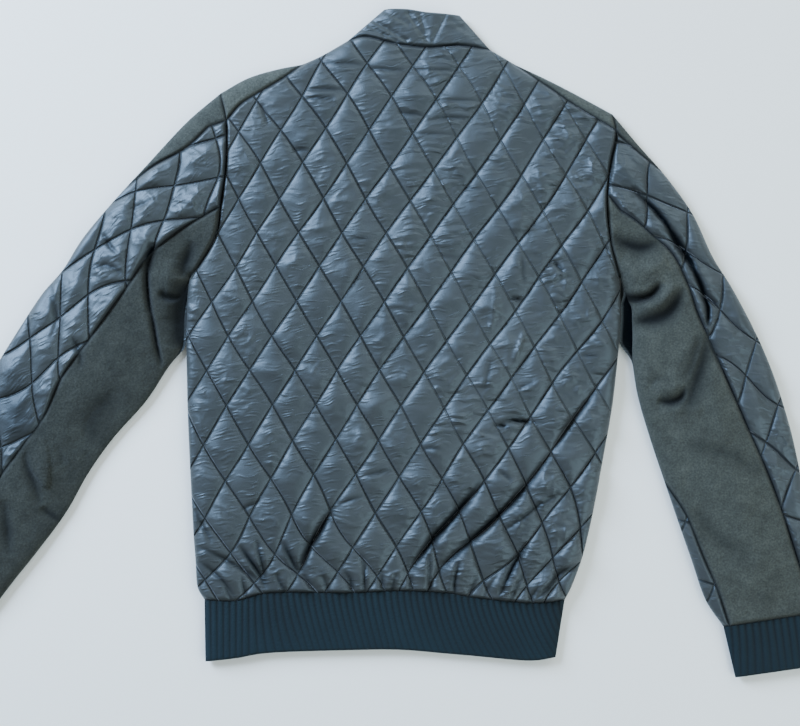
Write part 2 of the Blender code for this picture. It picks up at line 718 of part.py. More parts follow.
def build_body(cloth):
    """The back, both fronts, the hem rib and the collar; returns the lines that the sleeves share."""
    hem = curve_through(columns_of(HEM, "x", "seam"), HEM_SAMPLES)
    hem_free = curve_through(columns_of(HEM, "x", "free"), HEM_SAMPLES)
    collar = collar_lines()
    left, right = (side_lines(side, collar, hem_free) for side in ("left", "right"))
    edges = Edges(BODY_MIDDLE, *(lines[end] for lines in (left, right) for end in ("top", "low")))
    back = Outline(
        (hem, "seam"),
        (right["flank"], "edge"),
        (right["hole"][right["cap"] :][::-1], "seam"),
        (right["over"][::-1], "seam"),
        (right["neck"][::-1], "edge"),
        (collar["back"][0][::-1], "seam"),
        (left["neck"], "edge"),
        (left["over"], "seam"),
        (left["hole"][left["cap"] :], "seam"),
        (left["flank"][::-1], "edge"),
    )
    panel("back", cloth["nylon"], back, edges, True, STITCH_Z, quilt_points(back_quilt, back.points))
    for side, lines in (("left", left), ("right", right)):
        build_front(side, lines, edges, hem, collar["front"][0], cloth["fleece"])
    rib_lines = [halved(hem), halved(hem_free)]
    hem_edges = Edges(HEM_MIDDLE, left["low"], right["low"])
    band("hem_rib", cloth["rib"], hem_edges, rib_lines, rib_lines, RIB_LEVELS, zipped=True)
    neck_edges = Edges(NECK_MIDDLE, left["top"], right["top"])
    band("collar", cloth["nylon"], neck_edges, collar["back"], collar["front"], COLLAR_LEVELS, zipped=True)
    return {"left": left, "right": right}


def build_sleeve(side, body, cloth):
    """The four strips of a sleeve and its cuff."""
    rows = sleeve_rows(side)
    outer, inner, hole = rows[:, :2], rows[:, 2:4], body["hole"]
    cap_i, back_i, under_i = body["cap"], body["back"], ARMHOLE_SAMPLES // 2
    cap_place = np.where(rows[:, 4] > LEAST_STRIP, rows[:, 4], 0)
    inner_place = np.where(rows[:, 6] < 1 - LEAST_STRIP, rows[:, 6], 1)
    cap_end = int(np.argmax(cap_place[1:] == 0)) + 1
    strip = int(np.argmax(inner_place < 1)) - 1 if (inner_place < 1).any() else len(rows) - 1

    def seam(place, start):
        line = outer + (inner - outer) * place[:, None]
        line[0] = hole[start]
        return line

    cap, back = seam(cap_place, cap_i), seam(rows[:, 5], back_i)
    under, inseam = seam(np.full(len(rows), UNDER_SEAM), under_i), seam(inner_place, -1)
    ends = CUFF_ENDS[side]
    edges = Edges((outer[len(rows) // 2] + inner[len(rows) // 2]) / 2, body["top"], np.vstack([inner, ends["inner"]]))
    ribs = outer[-1] + (inner[-1] - outer[-1]) * np.linspace(0, 1, RIBS_ACROSS_CUFF + 1)[:, None]

    def cuff_seam(first, last):
        """The places of the ribs on the cuff's seam between two seams of the sleeve."""
        at = nearest(np.array([first[-1], last[-1]]), ribs)[1]
        along = lengths_along(ribs)
        between = ribs[(along > at.min() + 2) & (along < at.max() - 2)]
        return between if at[0] < at[1] else between[::-1]

    quilt = Outline(
        (hole[cap_i : back_i + 1], "seam"),
        (back, "seam"),
        (cuff_seam(back, outer), "seam"),
        (outer[cap_end:][::-1], "edge"),
        (cap[: cap_end + 1][::-1], "seam"),
    )
    raised = quilt_points(sleeve_quilt(side, outer), quilt.points)
    panel(f"sleeve_{side}_quilt", cloth["nylon"], quilt, edges, True, STITCH_Z, raised)

    fleece = Outline(
        (hole[back_i:], "seam"),
        (inner[: strip + 1], "edge"),
        (inseam[strip:], "seam"),
        (cuff_seam(inseam, back), "seam"),
        (back[::-1], "seam"),
    )
    raised = grid_points(fleece.points, GRID_FLEECE)
    panel(f"sleeve_{side}_fleece", cloth["fleece"], fleece, edges, True, FLEECE_Z, raised)

    top = Outline(
        (hole[: under_i + 1], "seam"),
        (under, "seam"),
        (cuff_seam(under, outer), "seam"),
        (outer[::-1], "edge"),
    )
    turned = Outline(
        (outer[: cap_end + 1], "edge"),
        (cap[: cap_end + 1][::-1], "seam"),
        (hole[: cap_i + 1][::-1], "seam"),
        hold=outer[cap_end],
    )
    plain = grid_points(top.points, GRID_PLAIN)
    panel(f"sleeve_{side}_top", cloth["fleece"], top, edges, False, FLEECE_Z, plain, turned)

    low = Outline(
        (hole[under_i:], "seam"),
        (inner, "edge"),
        (cuff_seam(inner, under), "seam"),
        (under[::-1], "seam"),
    )
    turned = None
    if strip < len(rows) - 1:
        turned = Outline(
            (inner[strip:], "edge"),
            (cuff_seam(inner, inseam), "seam"),
            (inseam[strip:][::-1], "seam"),
            hold=inner[strip],
        )
    plain = grid_points(low.points, GRID_PLAIN)
    panel(f"sleeve_{side}_inseam", cloth["nylon"], low, edges, False, STITCH_Z, plain, turned)

    free = np.array(ends["outer"]) + np.subtract(ends["inner"], ends["outer"]) * np.linspace(0, 1, len(ribs))[:, None]
    lines = [halved(ribs), halved(free)]
    band(f"cuff_{side}", cloth["rib"], edges, lines, lines, RIB_LEVELS)


def build_zip(cloth):
    """The closed front zip, made upright along Y and then turned and moved to its place on the front."""
    low, along, _ = zip_frame()
    length = np.linalg.norm(np.subtract(ZIP_LINE["neck"], ZIP_LINE["hem"]))
    half_chain, half_tape = CHAIN_WIDE / 2, TAPE_THICK / 2
    chain_end = length - 16
    pieces = []
    for side, sign in (("left", -1), ("right", 1)):
        across = sorted((sign * (half_chain + GAP), sign * (half_chain + GAP + TAPE_WIDE)))
        block = ((across[0], 4, CHAIN_Z - half_tape), (across[1], length - 4, CHAIN_Z + half_tape))
        pieces += joined_blocks(f"zip_tape_{side}", cloth["tape"], [block])
    block = ((-half_chain, 6, CHAIN_Z - CHAIN_THICK / 2), (half_chain, chain_end, CHAIN_Z + CHAIN_THICK / 2))
    pieces += joined_blocks("zip_chain", cloth["metal"], [block])

    half, plate = SLIDER["wide"] / 2, SLIDER["plate"]
    start, end = chain_end - SLIDER["long"] + 3, chain_end + 3
    under, over = SLIDER["under_z"], SLIDER["over_z"]
    foot, bar = BRIDGE["foot"], BRIDGE["bar"]
    half_bridge, bridge_start = BRIDGE["wide"] / 2, start + 2
    bridge_end = bridge_start + BRIDGE["long"]
    slider = [
        ((-half, start, under), (half, end, under + plate)),
        ((-half, start, over), (half, end, over + plate)),
        ((-1.5, end - 2.2, under + plate / 2), (1.5, end, over + plate / 2)),
        ((-half_bridge, bridge_start, BRIDGE["low_z"]), (half_bridge, bridge_end, BRIDGE["low_z"] + bar)),
        ((-half_bridge, bridge_start, BRIDGE["low_z"] + 0.1), (half_bridge, bridge_start + foot, under + 0.2)),
        ((-half_bridge, bridge_end - foot, BRIDGE["low_z"] + 0.1), (half_bridge, bridge_end, under + 0.2)),
    ]
    pieces += joined_blocks("zip_slider", cloth["metal"], slider)

    rod = bridge_start + foot + TAB["rod"] / 2 + 0.15
    half_tab, half_rod, z = TAB["wide"] / 2, TAB["rod"] / 2, TAB["z"]
    window, thick = TAB["window_wide"] / 2, TAB["thick"] / 2
    tab = [
        ((-half_tab + 0.6, rod - half_rod, z - half_rod), (half_tab - 0.6, rod + half_rod, z + half_rod)),
        ((-half_tab + 0.6, rod - TAB["window"] - 1, z - thick), (-window, rod, z + thick)),
        ((window, rod - TAB["window"] - 1, z - thick), (half_tab - 0.6, rod, z + thick)),
        ((-half_tab, rod - TAB["long"], z - thick), (half_tab, rod - TAB["window"], z + thick)),
    ]
    tab_pieces = joined_blocks("zip_pull", cloth["metal"], tab)

    turn = Matrix.Rotation(math.atan2(along[1], along[0]) - math.pi / 2, 4, "Z")
    place = Matrix.Translation((np.append(low, 0) - ORIGIN) / 1000) @ turn
    for piece in pieces:
        piece.matrix_world = place
    hinge = Matrix.Translation((0, rod / 1000, z / 1000))
    for piece in tab_pieces:
        piece.data.transform(hinge.inverted())
        piece.matrix_world = place @ hinge


def main():
    for piece in list(bpy.data.objects):
        bpy.data.objects.remove(piece, do_unlink=True)
    cloth = {
        "nylon": new_material("quilted nylon", (0.09, 0.14, 0.18), 0.36),
        "fleece": new_material("wool fleece", (0.07, 0.09, 0.09), 0.95),
        "rib": new_material("knitted rib", (0.012, 0.026, 0.036), 0.85),
        "tape": new_material("zip tape", (0.02, 0.03, 0.04), 0.8),
        "metal": new_material("zip metal", (0.12, 0.12, 0.12), 0.35, 1.0),
    }
    body = build_body(cloth)
    for side in SLEEVES:
        build_sleeve(side, body[side], cloth)
    build_zip(cloth)


main()
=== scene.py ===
"""A quilted bomber jacket laid flat with its back up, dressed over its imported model."""
import math

import bmesh
import bpy
import numpy as np
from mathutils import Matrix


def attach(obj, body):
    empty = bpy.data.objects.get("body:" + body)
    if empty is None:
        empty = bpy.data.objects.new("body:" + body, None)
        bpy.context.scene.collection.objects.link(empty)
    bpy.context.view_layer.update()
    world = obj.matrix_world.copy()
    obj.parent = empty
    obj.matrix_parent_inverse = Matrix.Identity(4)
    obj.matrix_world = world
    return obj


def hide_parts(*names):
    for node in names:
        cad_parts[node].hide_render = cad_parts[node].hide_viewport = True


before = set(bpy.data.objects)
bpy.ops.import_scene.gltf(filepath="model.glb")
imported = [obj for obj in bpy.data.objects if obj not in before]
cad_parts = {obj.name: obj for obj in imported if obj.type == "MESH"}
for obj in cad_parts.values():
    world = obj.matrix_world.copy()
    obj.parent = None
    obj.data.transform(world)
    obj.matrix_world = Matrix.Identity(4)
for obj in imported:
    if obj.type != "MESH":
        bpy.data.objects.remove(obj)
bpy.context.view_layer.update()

# The back: one panel of nylon taffeta over thin wadding, stitched through in diamonds. It is sewn to the
# collar, the shoulder strips, the sleeves and the hem rib, and turns under at the two side seams.
# Places are in millimetres as the pattern has them: x to the right, y towards the collar, z up.
MIDDLE = np.array([0.0, 3.2, 0.0])
SIDE_SEAM_Z = 5.5
INSIDE_Z = 7.4
UNDER_WALL = 4.0
UNDER_SEAM_Z = 1.2
SEAM_Z = 9.6
NYLON_Z = 11.0
EDGE_ROUND = 16.0
UNDER_ROUND = 10.0
EDGE_WALL = 3.5
SEAM_WIDTH = 2.2
SEAM_SHADE = 0.85
SEAM_SHADE_WIDTH = 1.45
TUCK_SHADE_DEPTH = 4.5
FOLD_ROUND = 3.0
CROWN = 5.0
CROWN_REACH = 45.0
THINNEST = 1.2
AIR = 0.8
PLAIN_DEPTH = 3.0
NYLON_PUFF = 6.2
FACET = 2.6


def table(columns, *rows):
    """A small table as one array for each named column."""
    return dict(zip(columns.split(), np.array(rows, float).T))


BODY = table(
    "y left right",
    (-284.5, -164.6, 239.7), (-269.9, -172.5, 247.5), (-239.7, -174.7, 258.7), (-209.4, -177, 266.6),
    (-166.9, -179.2, 275.5), (-123.2, -181.4, 283.4), (-66.1, -183.7, 293.4), (-4.5, -184.8, 300.2),
    (31.4, -184.8, 302.4), (66.1, -183.1, 301.8), (78.4, -180.3, 300.7),
)
HEM = table(
    "x seam free_x free",
    (-164.6, -284.5, -163.5, -353.9), (-128.8, -285.6, -128.4, -350), (-90.7, -276.6, -90.7, -344),
    (-3.4, -276.6, -3.4, -341), (53.8, -274.4, 53.8, -340.5), (107.5, -276.6, 107, -344.8),
    (140, -282.2, 138.5, -347.5), (203.8, -288, 199, -352.8), (239.7, -284.5, 229.5, -349),
)
ARMHOLES = {
    "left": table(
        "x y",
        (-146.7, 283.4), (-140, 250.9), (-140, 203.8), (-145.6, 160.2), (-151.2, 124.3), (-169.1, 91.8),
        (-180.3, 78.4),
    ),
    "right": table(
        "x y",
        (293.4, 259.8), (296.8, 237.4), (291.2, 205), (286.7, 160.2), (290.1, 125.4), (294.6, 100.8),
        (300.7, 78.4),
    ),
}
SHOULDERS = {
    "left": {
        "neck": table("x y", (-3.4, 342.7), (-32.5, 325.9), (-54.9, 315.8)),
        "edge": table("x y", (-54.9, 315.8), (-84, 310.2), (-116.5, 300.2), (-146.7, 283.4)),
        "seam": table(
            "x y",
            (-54.9, 315.8), (-76.2, 300.2), (-101.9, 284.5), (-123.2, 271), (-140, 253),
        ),
    },
    "right": {
        "neck": table("x y", (155.7, 332.6), (174.7, 321.4), (183.7, 315.8)),
        "edge": table("x y", (183.7, 315.8), (226.2, 295.7), (268.8, 273.3), (293.4, 259.8)),
        "seam": table(
            "x y",
            (183.7, 315.8), (217.3, 293.4), (247.5, 272.2), (268.8, 258.7), (295.5, 246),
        ),
    },
}
COLLAR = {
    "back": table(
        "x seam free",
        (0, 342.7, 377.4), (0.12, 347, 378.2), (0.32, 339.5, 377.6), (0.55, 334.9, 374.5),
        (0.8, 336.5, 372.6), (1, 332.6, 370.7),
    ),
    "front": table(
        "x seam free",
        (0, 342.7, 377.4), (0.12, 303, 350), (0.32, 275, 325), (0.5, 267.7, 317), (0.72, 277, 325),
        (0.9, 303, 347), (1, 332.6, 370.7),
    ),
}
COLLAR_ENDS = {"seam": (-3.4, 155.7), "free": (37.0, 122.1)}
HOLE_STEPS = 80
# Seams of a sleeve leave its armhole at these shares of the way from the shoulder to the armpit
LEAVES_ARMHOLE = {"left": {"cap": 0.15, "back": 0.60}, "right": {"cap": 0.10, "back": 0.50}}
# A sleeve's outer and inner edge, and the shares of the way between them at which its seams run
SLEEVE_COLUMNS = "ox oy ix iy cap back inner"
SLEEVES = {
    "left": table(
        SLEEVE_COLUMNS,
        (-146.7, 283.4, -180.3, 78.4, 0.15, 0.69, 1), (-184.8, 250.9, -185.9, 60.5, 0.155, 0.62, 1),
        (-229.6, 202.7, -187.6, 44.8, 0.036, 0.54, 1), (-267.7, 161.3, -188.2, 26.9, 0, 0.48, 1),
        (-301.3, 121, -189.3, 1.1, 0, 0.46, 1), (-323.7, 85.1, -207.2, -26.9, 0, 0.445, 1),
        (-346.1, 59.4, -230.7, -62.7, 0, 0.45, 1), (-370.7, 22.4, -266.6, -103, 0, 0.46, 1),
        (-393.1, -13.4, -294.6, -142.2, 0, 0.51, 1), (-417.8, -54.9, -319.2, -185.9, 0, 0.475, 1),
        (-449.1, -113.1, -350.6, -228.5, 0, 0.45, 1), (-477.1, -169.1, -377.4, -262.1, 0, 0.45, 1),
        (-502.9, -220.6, -402.1, -294.6, 0, 0.45, 1),
    ),
    "right": table(
        SLEEVE_COLUMNS,
        (293.4, 259.8, 300.7, 78.4, 0.10, 0.585, 1), (322.6, 225.1, 310.2, 52.6, 0.045, 0.487, 1),
        (355, 188.2, 314.7, 42.6, 0, 0.445, 1), (384.2, 146.7, 315.3, 26.9, 0, 0.365, 1),
        (405.4, 100.8, 315.8, 9, 0, 0.33, 1), (429, 62.7, 315.8, -15.7, 0, 0.36, 1),
        (454.7, 13.4, 321.4, -54.9, 0, 0.35, 1), (473.8, -31.4, 334.9, -101.9, 0, 0.335, 1),
        (490.6, -84, 350.6, -149, 0, 0.3, 1), (501.8, -131, 365.1, -191.5, 0, 0.25, 0.93),
        (511.8, -185.9, 381.9, -239.7, 0, 0.2, 0.905), (520.8, -244.2, 397.6, -284.5, 0, 0.145, 0.875),
        (527.5, -297.9, 417.8, -314.7, 0, 0.1, 0.94),
    ),
}
CUFF_ENDS = {
    "left": {"outer": (-539.8, -269.9), "inner": (-439.0, -343.8)},
    "right": {"outer": (539.8, -356.2), "inner": (431.2, -371.8)},
}
# Creases that the back is gathered into: a line of four points, the rise on it and its half width
# Where they sink, the colour is painted darker as shade, in full at 4.5 mm deep
CREASES = table(
    "x0 y0 x1 y1 x2 y2 x3 y3 rise width",
    (-59, -256, -47, -226, -35, -206, -18, -178, -5, 4.6),
    (64, -255, 91, -217, 121, -183, 150, -148, -5.5, 5),
    (91, -259, 134, -218, 184, -170, 225, -119, -5, 4.6),
    (225, -119, 236, -102, 245, -87, 277, -47, -3.6, 3.6),
    (164, -284, 176, -258, 185, -240, 199, -218, -4.6, 3.8),
    (207, -284, 221, -270, 234, -254, 253, -242, -3.4, 3.2),
    (-125, -222, -116, -235, -106, -249, -95, -271, -4.6, 3.2),
    (-106, -215, -103, -228, -100, -242, -95, -273, -3.4, 2.8),
    (-77, -218, -69, -233, -63, -246, -56, -255, -4, 3.4),
    (-172, -225, -156, -231, -132, -244, -97, -265, -3, 3),
    (-170, -240, -157, -251, -142, -264, -129, -284, -2.8, 2.8),
    (-174, -181, -169, -197, -162, -208, -155, -221, -2.6, 3),
    (-84, -253, -81, -262, -76, -271, -71, -284, -2.6, 2.8),
    (-54, -254, -49, -262, -44, -271, -37, -284, -2.4, 2.6),
    (-8, -251, -1, -260, 1, -271, 1, -287, -3, 2.4), (10, -233, 15, -244, 15, -262, 15, -287, -3.2, 2.4),
    (35, -251, 35, -260, 35, -273, 36, -289, -2.6, 2.4),
    (50, -253, 48, -264, 46, -273, 44, -289, -2.8, 2.8),
    (87, -224, 88, -240, 88, -258, 90, -289, -2.8, 2.4),
    (121, -235, 119, -249, 116, -262, 116, -289, -3.8, 2.8),
    (142, -255, 138, -264, 133, -276, 129, -291, -2.2, 2.4),
    (194, -251, 189, -262, 183, -273, 176, -291, -2.4, 2.6),
    (-32, -251, -30, -262, -26, -273, -21, -289, -2.2, 2.6),
    (-123, -256, -121, -267, -119, -276, -115, -289, -2.4, 2.4),
    (-144, -260, -140, -271, -136, -280, -131, -291, -2, 2.4),
    (212, -264, 207, -273, 202, -282, 197, -293, -2.2, 2.4),
    (68, -255, 67, -264, 66, -276, 66, -289, -2.6, 2.4),
    (167, -253, 158, -264, 151, -276, 144, -291, -2, 2.4),
    (-50, 287, -35, 287, -21, 287, -6, 285, -2.4, 2.6),
    (-50, 276, -39, 277, -28, 277, -17, 276, -2.6, 2.6), (-32, 316, -16, 316, -1, 316, 14, 314, -2, 2.4),
    (14, 309, 29, 310, 45, 309, 60, 308, -2.2, 2.6), (85, 253, 101, 255, 117, 255, 133, 255, -2.4, 2.6),
    (51, 261, 61, 260, 72, 259, 83, 256, -2.4, 2.8), (-66, 218, -60, 219, -54, 219, -48, 217, -2.4, 2.8),
    (172, -82, 182, -82, 191, -84, 200, -86, -2.8, 2.6), (162, -89, 167, -88, 171, -89, 175, -90, -2, 2.4),
    (185, -51, 192, -46, 199, -43, 205, -41, -2, 2.6), (154, 16, 159, 28, 163, 41, 168, 53, 1.8, 3),
    (181, -18, 185, -7, 190, 4, 194, 15, 2, 3), (177, 52, 182, 53, 186, 52, 191, 50, -2, 2.4),
    (225, 95, 229, 92, 233, 87, 237, 82, -1.8, 2.4), (169, -208, 191, -192, 212, -177, 234, -163, -3, 2.8),
    (164, -138, 169, -142, 175, -147, 180, -152, -2.4, 2.6),
    (78, -116, 86, -114, 94, -114, 101, -115, -2.2, 2.4),
    (-124, -185, -116, -180, -108, -176, -100, -174, -2.2, 2.6),
    (-16, -179, -6, -174, 4, -170, 14, -167, -2.2, 2.6), (12, -147, 23, -143, 35, -140, 46, -138, -2, 2.6),
)


def lengths_along(line):
    """Running length at each point of a line."""
    return np.concatenate([[0], np.cumsum(np.linalg.norm(np.diff(line, axis=0), axis=1))])


def along_line(line, places):
    """Points at shares of a line's length."""
    run = lengths_along(line)
    return np.column_stack([np.interp(places * run[-1], run, column) for column in line.T])


def curve_through(points, count):
    """Evenly spaced points on a Catmull-Rom curve: spans are cubics whose end slopes are half the chord
    from the point before to the point after."""
    given = np.asarray(points, float)
    ends = np.vstack([2 * given[0] - given[1], given, 2 * given[-1] - given[-2]])
    t = np.linspace(0, 1, 16, endpoint=False)[:, None]
    spans = []
    for a, b, c, d in zip(ends, ends[1:], ends[2:], ends[3:]):
        cubic = (3 * b - a - 3 * c + d) * t**3
        spans.append(0.5 * (2 * b + (c - a) * t + (2 * a - 5 * b + 4 * c - d) * t**2 + cubic))
    return along_line(np.vstack(spans + [given[-1:]]), np.linspace(0, 1, count))


def points_of(rows, first="x", second="y"):
    """Two columns of a table as points."""
    return np.column_stack([rows[first], rows[second]])


def sleeve_rows(side):
    """A sleeve's cross-cuts, evenly spaced, from its armhole to its cuff."""
    rows = curve_through(np.column_stack(list(SLEEVES[side].values())), 67)
    hole = points_of(ARMHOLES[side])
    rows[0, :2], rows[0, 2:4] = hole[0], hole[-1]
    return rows


def collar_line(face, name):
    """The collar's seam or free edge on one face, from left to right."""
    first, last = COLLAR_ENDS[name]
    places = np.column_stack([first + (last - first) * COLLAR[face]["x"], COLLAR[face][name]])
    return curve_through(places, 61)


def side_lines(side):
    """The seams and turned edges of one side of the body, and the silhouette above and below its armpit."""
    parts, end = SHOULDERS[side], 0 if side == "left" else -1
    hole = curve_through(points_of(ARMHOLES[side]), HOLE_STEPS + 1)
    cap, back = (round(LEAVES_ARMHOLE[side][name] * HOLE_STEPS) for name in ("cap", "back"))
    over = points_of(parts["seam"])
    over[-1] = hole[cap]
    over = curve_through(over, 33)
    neck, edge = curve_through(points_of(parts["neck"]), 17), curve_through(points_of(parts["edge"]), 33)
    flank = curve_through(points_of(BODY, side, "y"), 73)
    top = [collar_line("back", "free")[end], neck, edge[1:], sleeve_rows(side)[1:, :2]]
    top = np.vstack([*top, CUFF_ENDS[side]["outer"]])
    low = np.vstack([(HEM["free_x"][end], HEM["free"][end]), flank])
    names = "hole cap back neck edge over flank top low"
    return dict(zip(names.split(), (hole, cap, back, neck, edge, over, flank, top, low)))


def nearest(points, line):
    """Distance to a line of points, the length along it there, and its normal, turned smoothly at bends."""
    start, step = line[:-1], np.diff(line, axis=0)
    size = np.linalg.norm(step, axis=1)
    square = np.column_stack([-step[:, 1], step[:, 0]]) / size[:, None]
    corner = np.vstack([square[:1], square[1:] + square[:-1], square[-1:]])
    corner /= np.linalg.norm(corner, axis=1)[:, None]
    found = []
    for some in np.array_split(points, max(1, len(points) // 6000)):
        to = some[:, None, :] - start[None]
        share = np.clip((to * step).sum(2) / size**2, 0, 1)
        far = np.linalg.norm(to - share[..., None] * step, axis=2)
        best = far.argmin(1)
        pick = np.arange(len(some))
        share = share[pick, best]
        run = lengths_along(line)[best] + share * size[best]
        normal = corner[best] * (1 - share)[:, None] + corner[best + 1] * share[:, None]
        found.append(np.column_stack([far[pick, best], run, normal]))
    found = np.vstack(found)
    normal = found[:, 2:] / np.linalg.norm(found[:, 2:], axis=1)[:, None]
    return found[:, 0], found[:, 1], normal


def facing(middle, *lines):
    """The lines, each turned round where its normal points away from the middle point."""
    spot = np.array([middle], float)
    turned = []
    for line in lines:
        far, _, normal = nearest(spot, line)
        turned.append(line if nearest(spot + normal, line)[0] > far else line[::-1])
    return turned


def inwards(points, edges):
    """Distance from the nearest turned edge, and the direction in from it."""
    far = np.full(len(points), 1e9)
    way = np.zeros((len(points), 2))
    for line in edges:
        d, _, normal = nearest(points, line)
        closer = d < far
        far[closer], way[closer] = d[closer], normal[closer]
    return far, way


def rounding(share):
    """A quarter of an ellipse, sqrt(1 - (1 - s)^2): 0 at an edge and 1 from a share of 1 inwards."""
    return np.sqrt(1 - (1 - np.clip(share, 0, 1)) ** 2)


def fold_relief(points, folds):
    """The largest fold at each place: rise * sin(pi * place along)^0.6 * exp(-(distance / width)^1.6)."""
    total = np.zeros(len(points))
    for *places, rise, width in zip(*folds.values()):
        line = curve_through(np.reshape(places, (-1, 2)), 17)
        close = ((points > line.min(0) - 3 * width) & (points < line.max(0) + 3 * width)).all(1)
        if not close.any():
            continue
        far, run, _ = nearest(points[close], line)
        ends = np.sin(math.pi * np.clip(run / lengths_along(line)[-1], 0, 1)) ** 0.6
        here = rise * ends * np.exp(-((far / width) ** 1.6))
        total[close] = np.where(np.abs(here) > np.abs(total[close]), here, total[close])
    return total


def soft_noise(x, y, seed):
    """Random heights from -1 to 1 on a square lattice of pitch 1, blended by 6t^5 - 15t^4 + 10t^3."""
    lattice = np.random.default_rng(seed).uniform(-1, 1, (256, 256))
    i, j = np.floor(x).astype(int), np.floor(y).astype(int)
    s, t = ((6 * f - 15) * f**4 + 10 * f**3 for f in (x - i, y - j))
    corners = [lattice[(i + di) % 256, (j + dj) % 256] for di, dj in ((0, 0), (1, 0), (0, 1), (1, 1))]
    low = corners[0] * (1 - s) + corners[1] * s
    high = corners[2] * (1 - s) + corners[3] * s
    return low * (1 - t) + high * t


def crinkles(x, y, seed, length, width, slant=0.0):
    """Sharp ridges along x: (1 - |noise(x / length, y / width)|)^3, its place shifted by wider noise."""
    drift = soft_noise(x / 31, y / 23, seed + 1) * 0.55 + soft_noise(x / 11, y / 9, seed + 2) * 0.25
    return (1 - np.abs(soft_noise(x / length + drift * 0.6, (y - slant * x) / width + drift, seed))) ** 3


def eased(count):
    """Places from 0 to 1, closer together at both ends: t - 0.35 sin(2 pi t) / (2 pi)."""
    t = np.linspace(0, 1, count + 1)
    return t - 0.35 * np.sin(2 * math.pi * t) / (2 * math.pi)


def patch(bottom, top, left, right, across, along):
    """A grid over four lines: (1-v) bottom(u) + v top(u) + (1-u) left(v) + u right(v), less the bilinear
    blend of the corners where they meet."""
    u, v = eased(across), eased(along)
    b, t, l, r = along_line(bottom, u), along_line(top, u), along_line(left, v), along_line(right, v)
    u, v = u[:, None, None], v[None, :, None]
    ruled = (1 - v) * b[:, None] + v * t[:, None] + (1 - u) * l[None] + u * r[None]
    corners = (1 - u) * (1 - v) * b[0] + u * (1 - v) * b[-1] + (1 - u) * v * t[0] + u * v * t[-1]
    return ruled - corners


def hex_colour(code):
    """An sRGB hex code as linear red, green, blue and a full alpha."""
    parts = np.array([int(code[i : i + 2], 16) for i in (1, 3, 5)]) / 255
    linear = np.where(parts <= 0.04045, parts / 12.92, ((parts + 0.055) / 1.055) ** 2.4)
    return (*linear.tolist(), 1.0)


def wire(node, links):
    """Joins a node's inputs, by name or number, to sockets, or sets them to values."""
    for name, value in links.items():
        if isinstance(value, bpy.types.NodeSocket):
            node.id_data.links.new(value, node.inputs[name])
        else:
            node.inputs[name].default_value = value


def add_node(tree, kind, links, out=0, **settings):
    """Adds a node with these settings and inputs, and returns one of its outputs."""
    node = tree.nodes.new("ShaderNode" + kind)
    for name, value in settings.items():
        setattr(node, name, value)
    wire(node, links)
    return node.outputs[out]


def maths(tree, operation, *values):
    """One operation on sockets or numbers."""
    return add_node(tree, "Math", dict(enumerate(values)), operation=operation)


def ranged(tree, value, low, high, to_low=0, to_high=1, **settings):
    """A value between low and high, taken to the range from to_low to to_high."""
    return add_node(tree, "MapRange", dict(enumerate((value, low, high, to_low, to_high))), **settings)


def mixed(tree, share, first, second, blend="MIX"):
    """A blend of two colours."""
    return add_node(tree, "Mix", {0: share, 6: first, 7: second}, 2, data_type="RGBA", blend_type=blend)


def noise(tree, place, scale, detail, roughness=0.5, out="Fac"):
    """Fractal noise with features of about 1 / scale metres."""
    links = {"Vector": place, "Scale": scale, "Detail": detail, "Roughness": roughness}
    return add_node(tree, "TexNoise", links, out)


def bumped(tree, height, strength, distance):
    """The normal of a surface with this relief, 1 being this many metres high."""
    return add_node(tree, "Bump", {"Height": height, "Strength": strength, "Distance": distance})


def marks_in(tree):
    """The marks of a wall: two of its lattice, how deep the second set is, and its painted shade."""
    found = []
    for layer in ("cloth", "depth_and_shade"):
        marks = add_node(tree, "UVMap", {}, uv_map=layer)
        found += add_node(tree, "SeparateXYZ", {0: marks}).node.outputs[:2]
    return found


def new_material(name, settings):
    """A material, its tree, its one shader with these settings, and the place in the piece's own space."""
    material = bpy.data.materials.new(name)
    material.use_nodes = True
    tree = material.node_tree
    shader = tree.nodes["Principled BSDF"]
    wire(shader, settings)
    return material, tree, shader, add_node(tree, "TexCoord", {}, "Object")


def loop_of(grid):
    """The border of a grid of any numbers as one loop, from its first corner along its bottom."""
    return np.concatenate([grid[:, 0], grid[-1, 1:], grid[-2::-1, -1], grid[0, -2:0:-1]])


def quads_of(grid):
    """The squares of a grid of vertex numbers."""
    return np.stack([grid[:-1, :-1], grid[1:, :-1], grid[1:, 1:], grid[:-1, 1:]], axis=-1).reshape(-1, 4)


def signed_area(loop):
    """Twice the area in a loop, negative where it runs clockwise."""
    x, y = loop[:, :2].T
    return (x * np.roll(y, -1) - y * np.roll(x, -1)).sum()


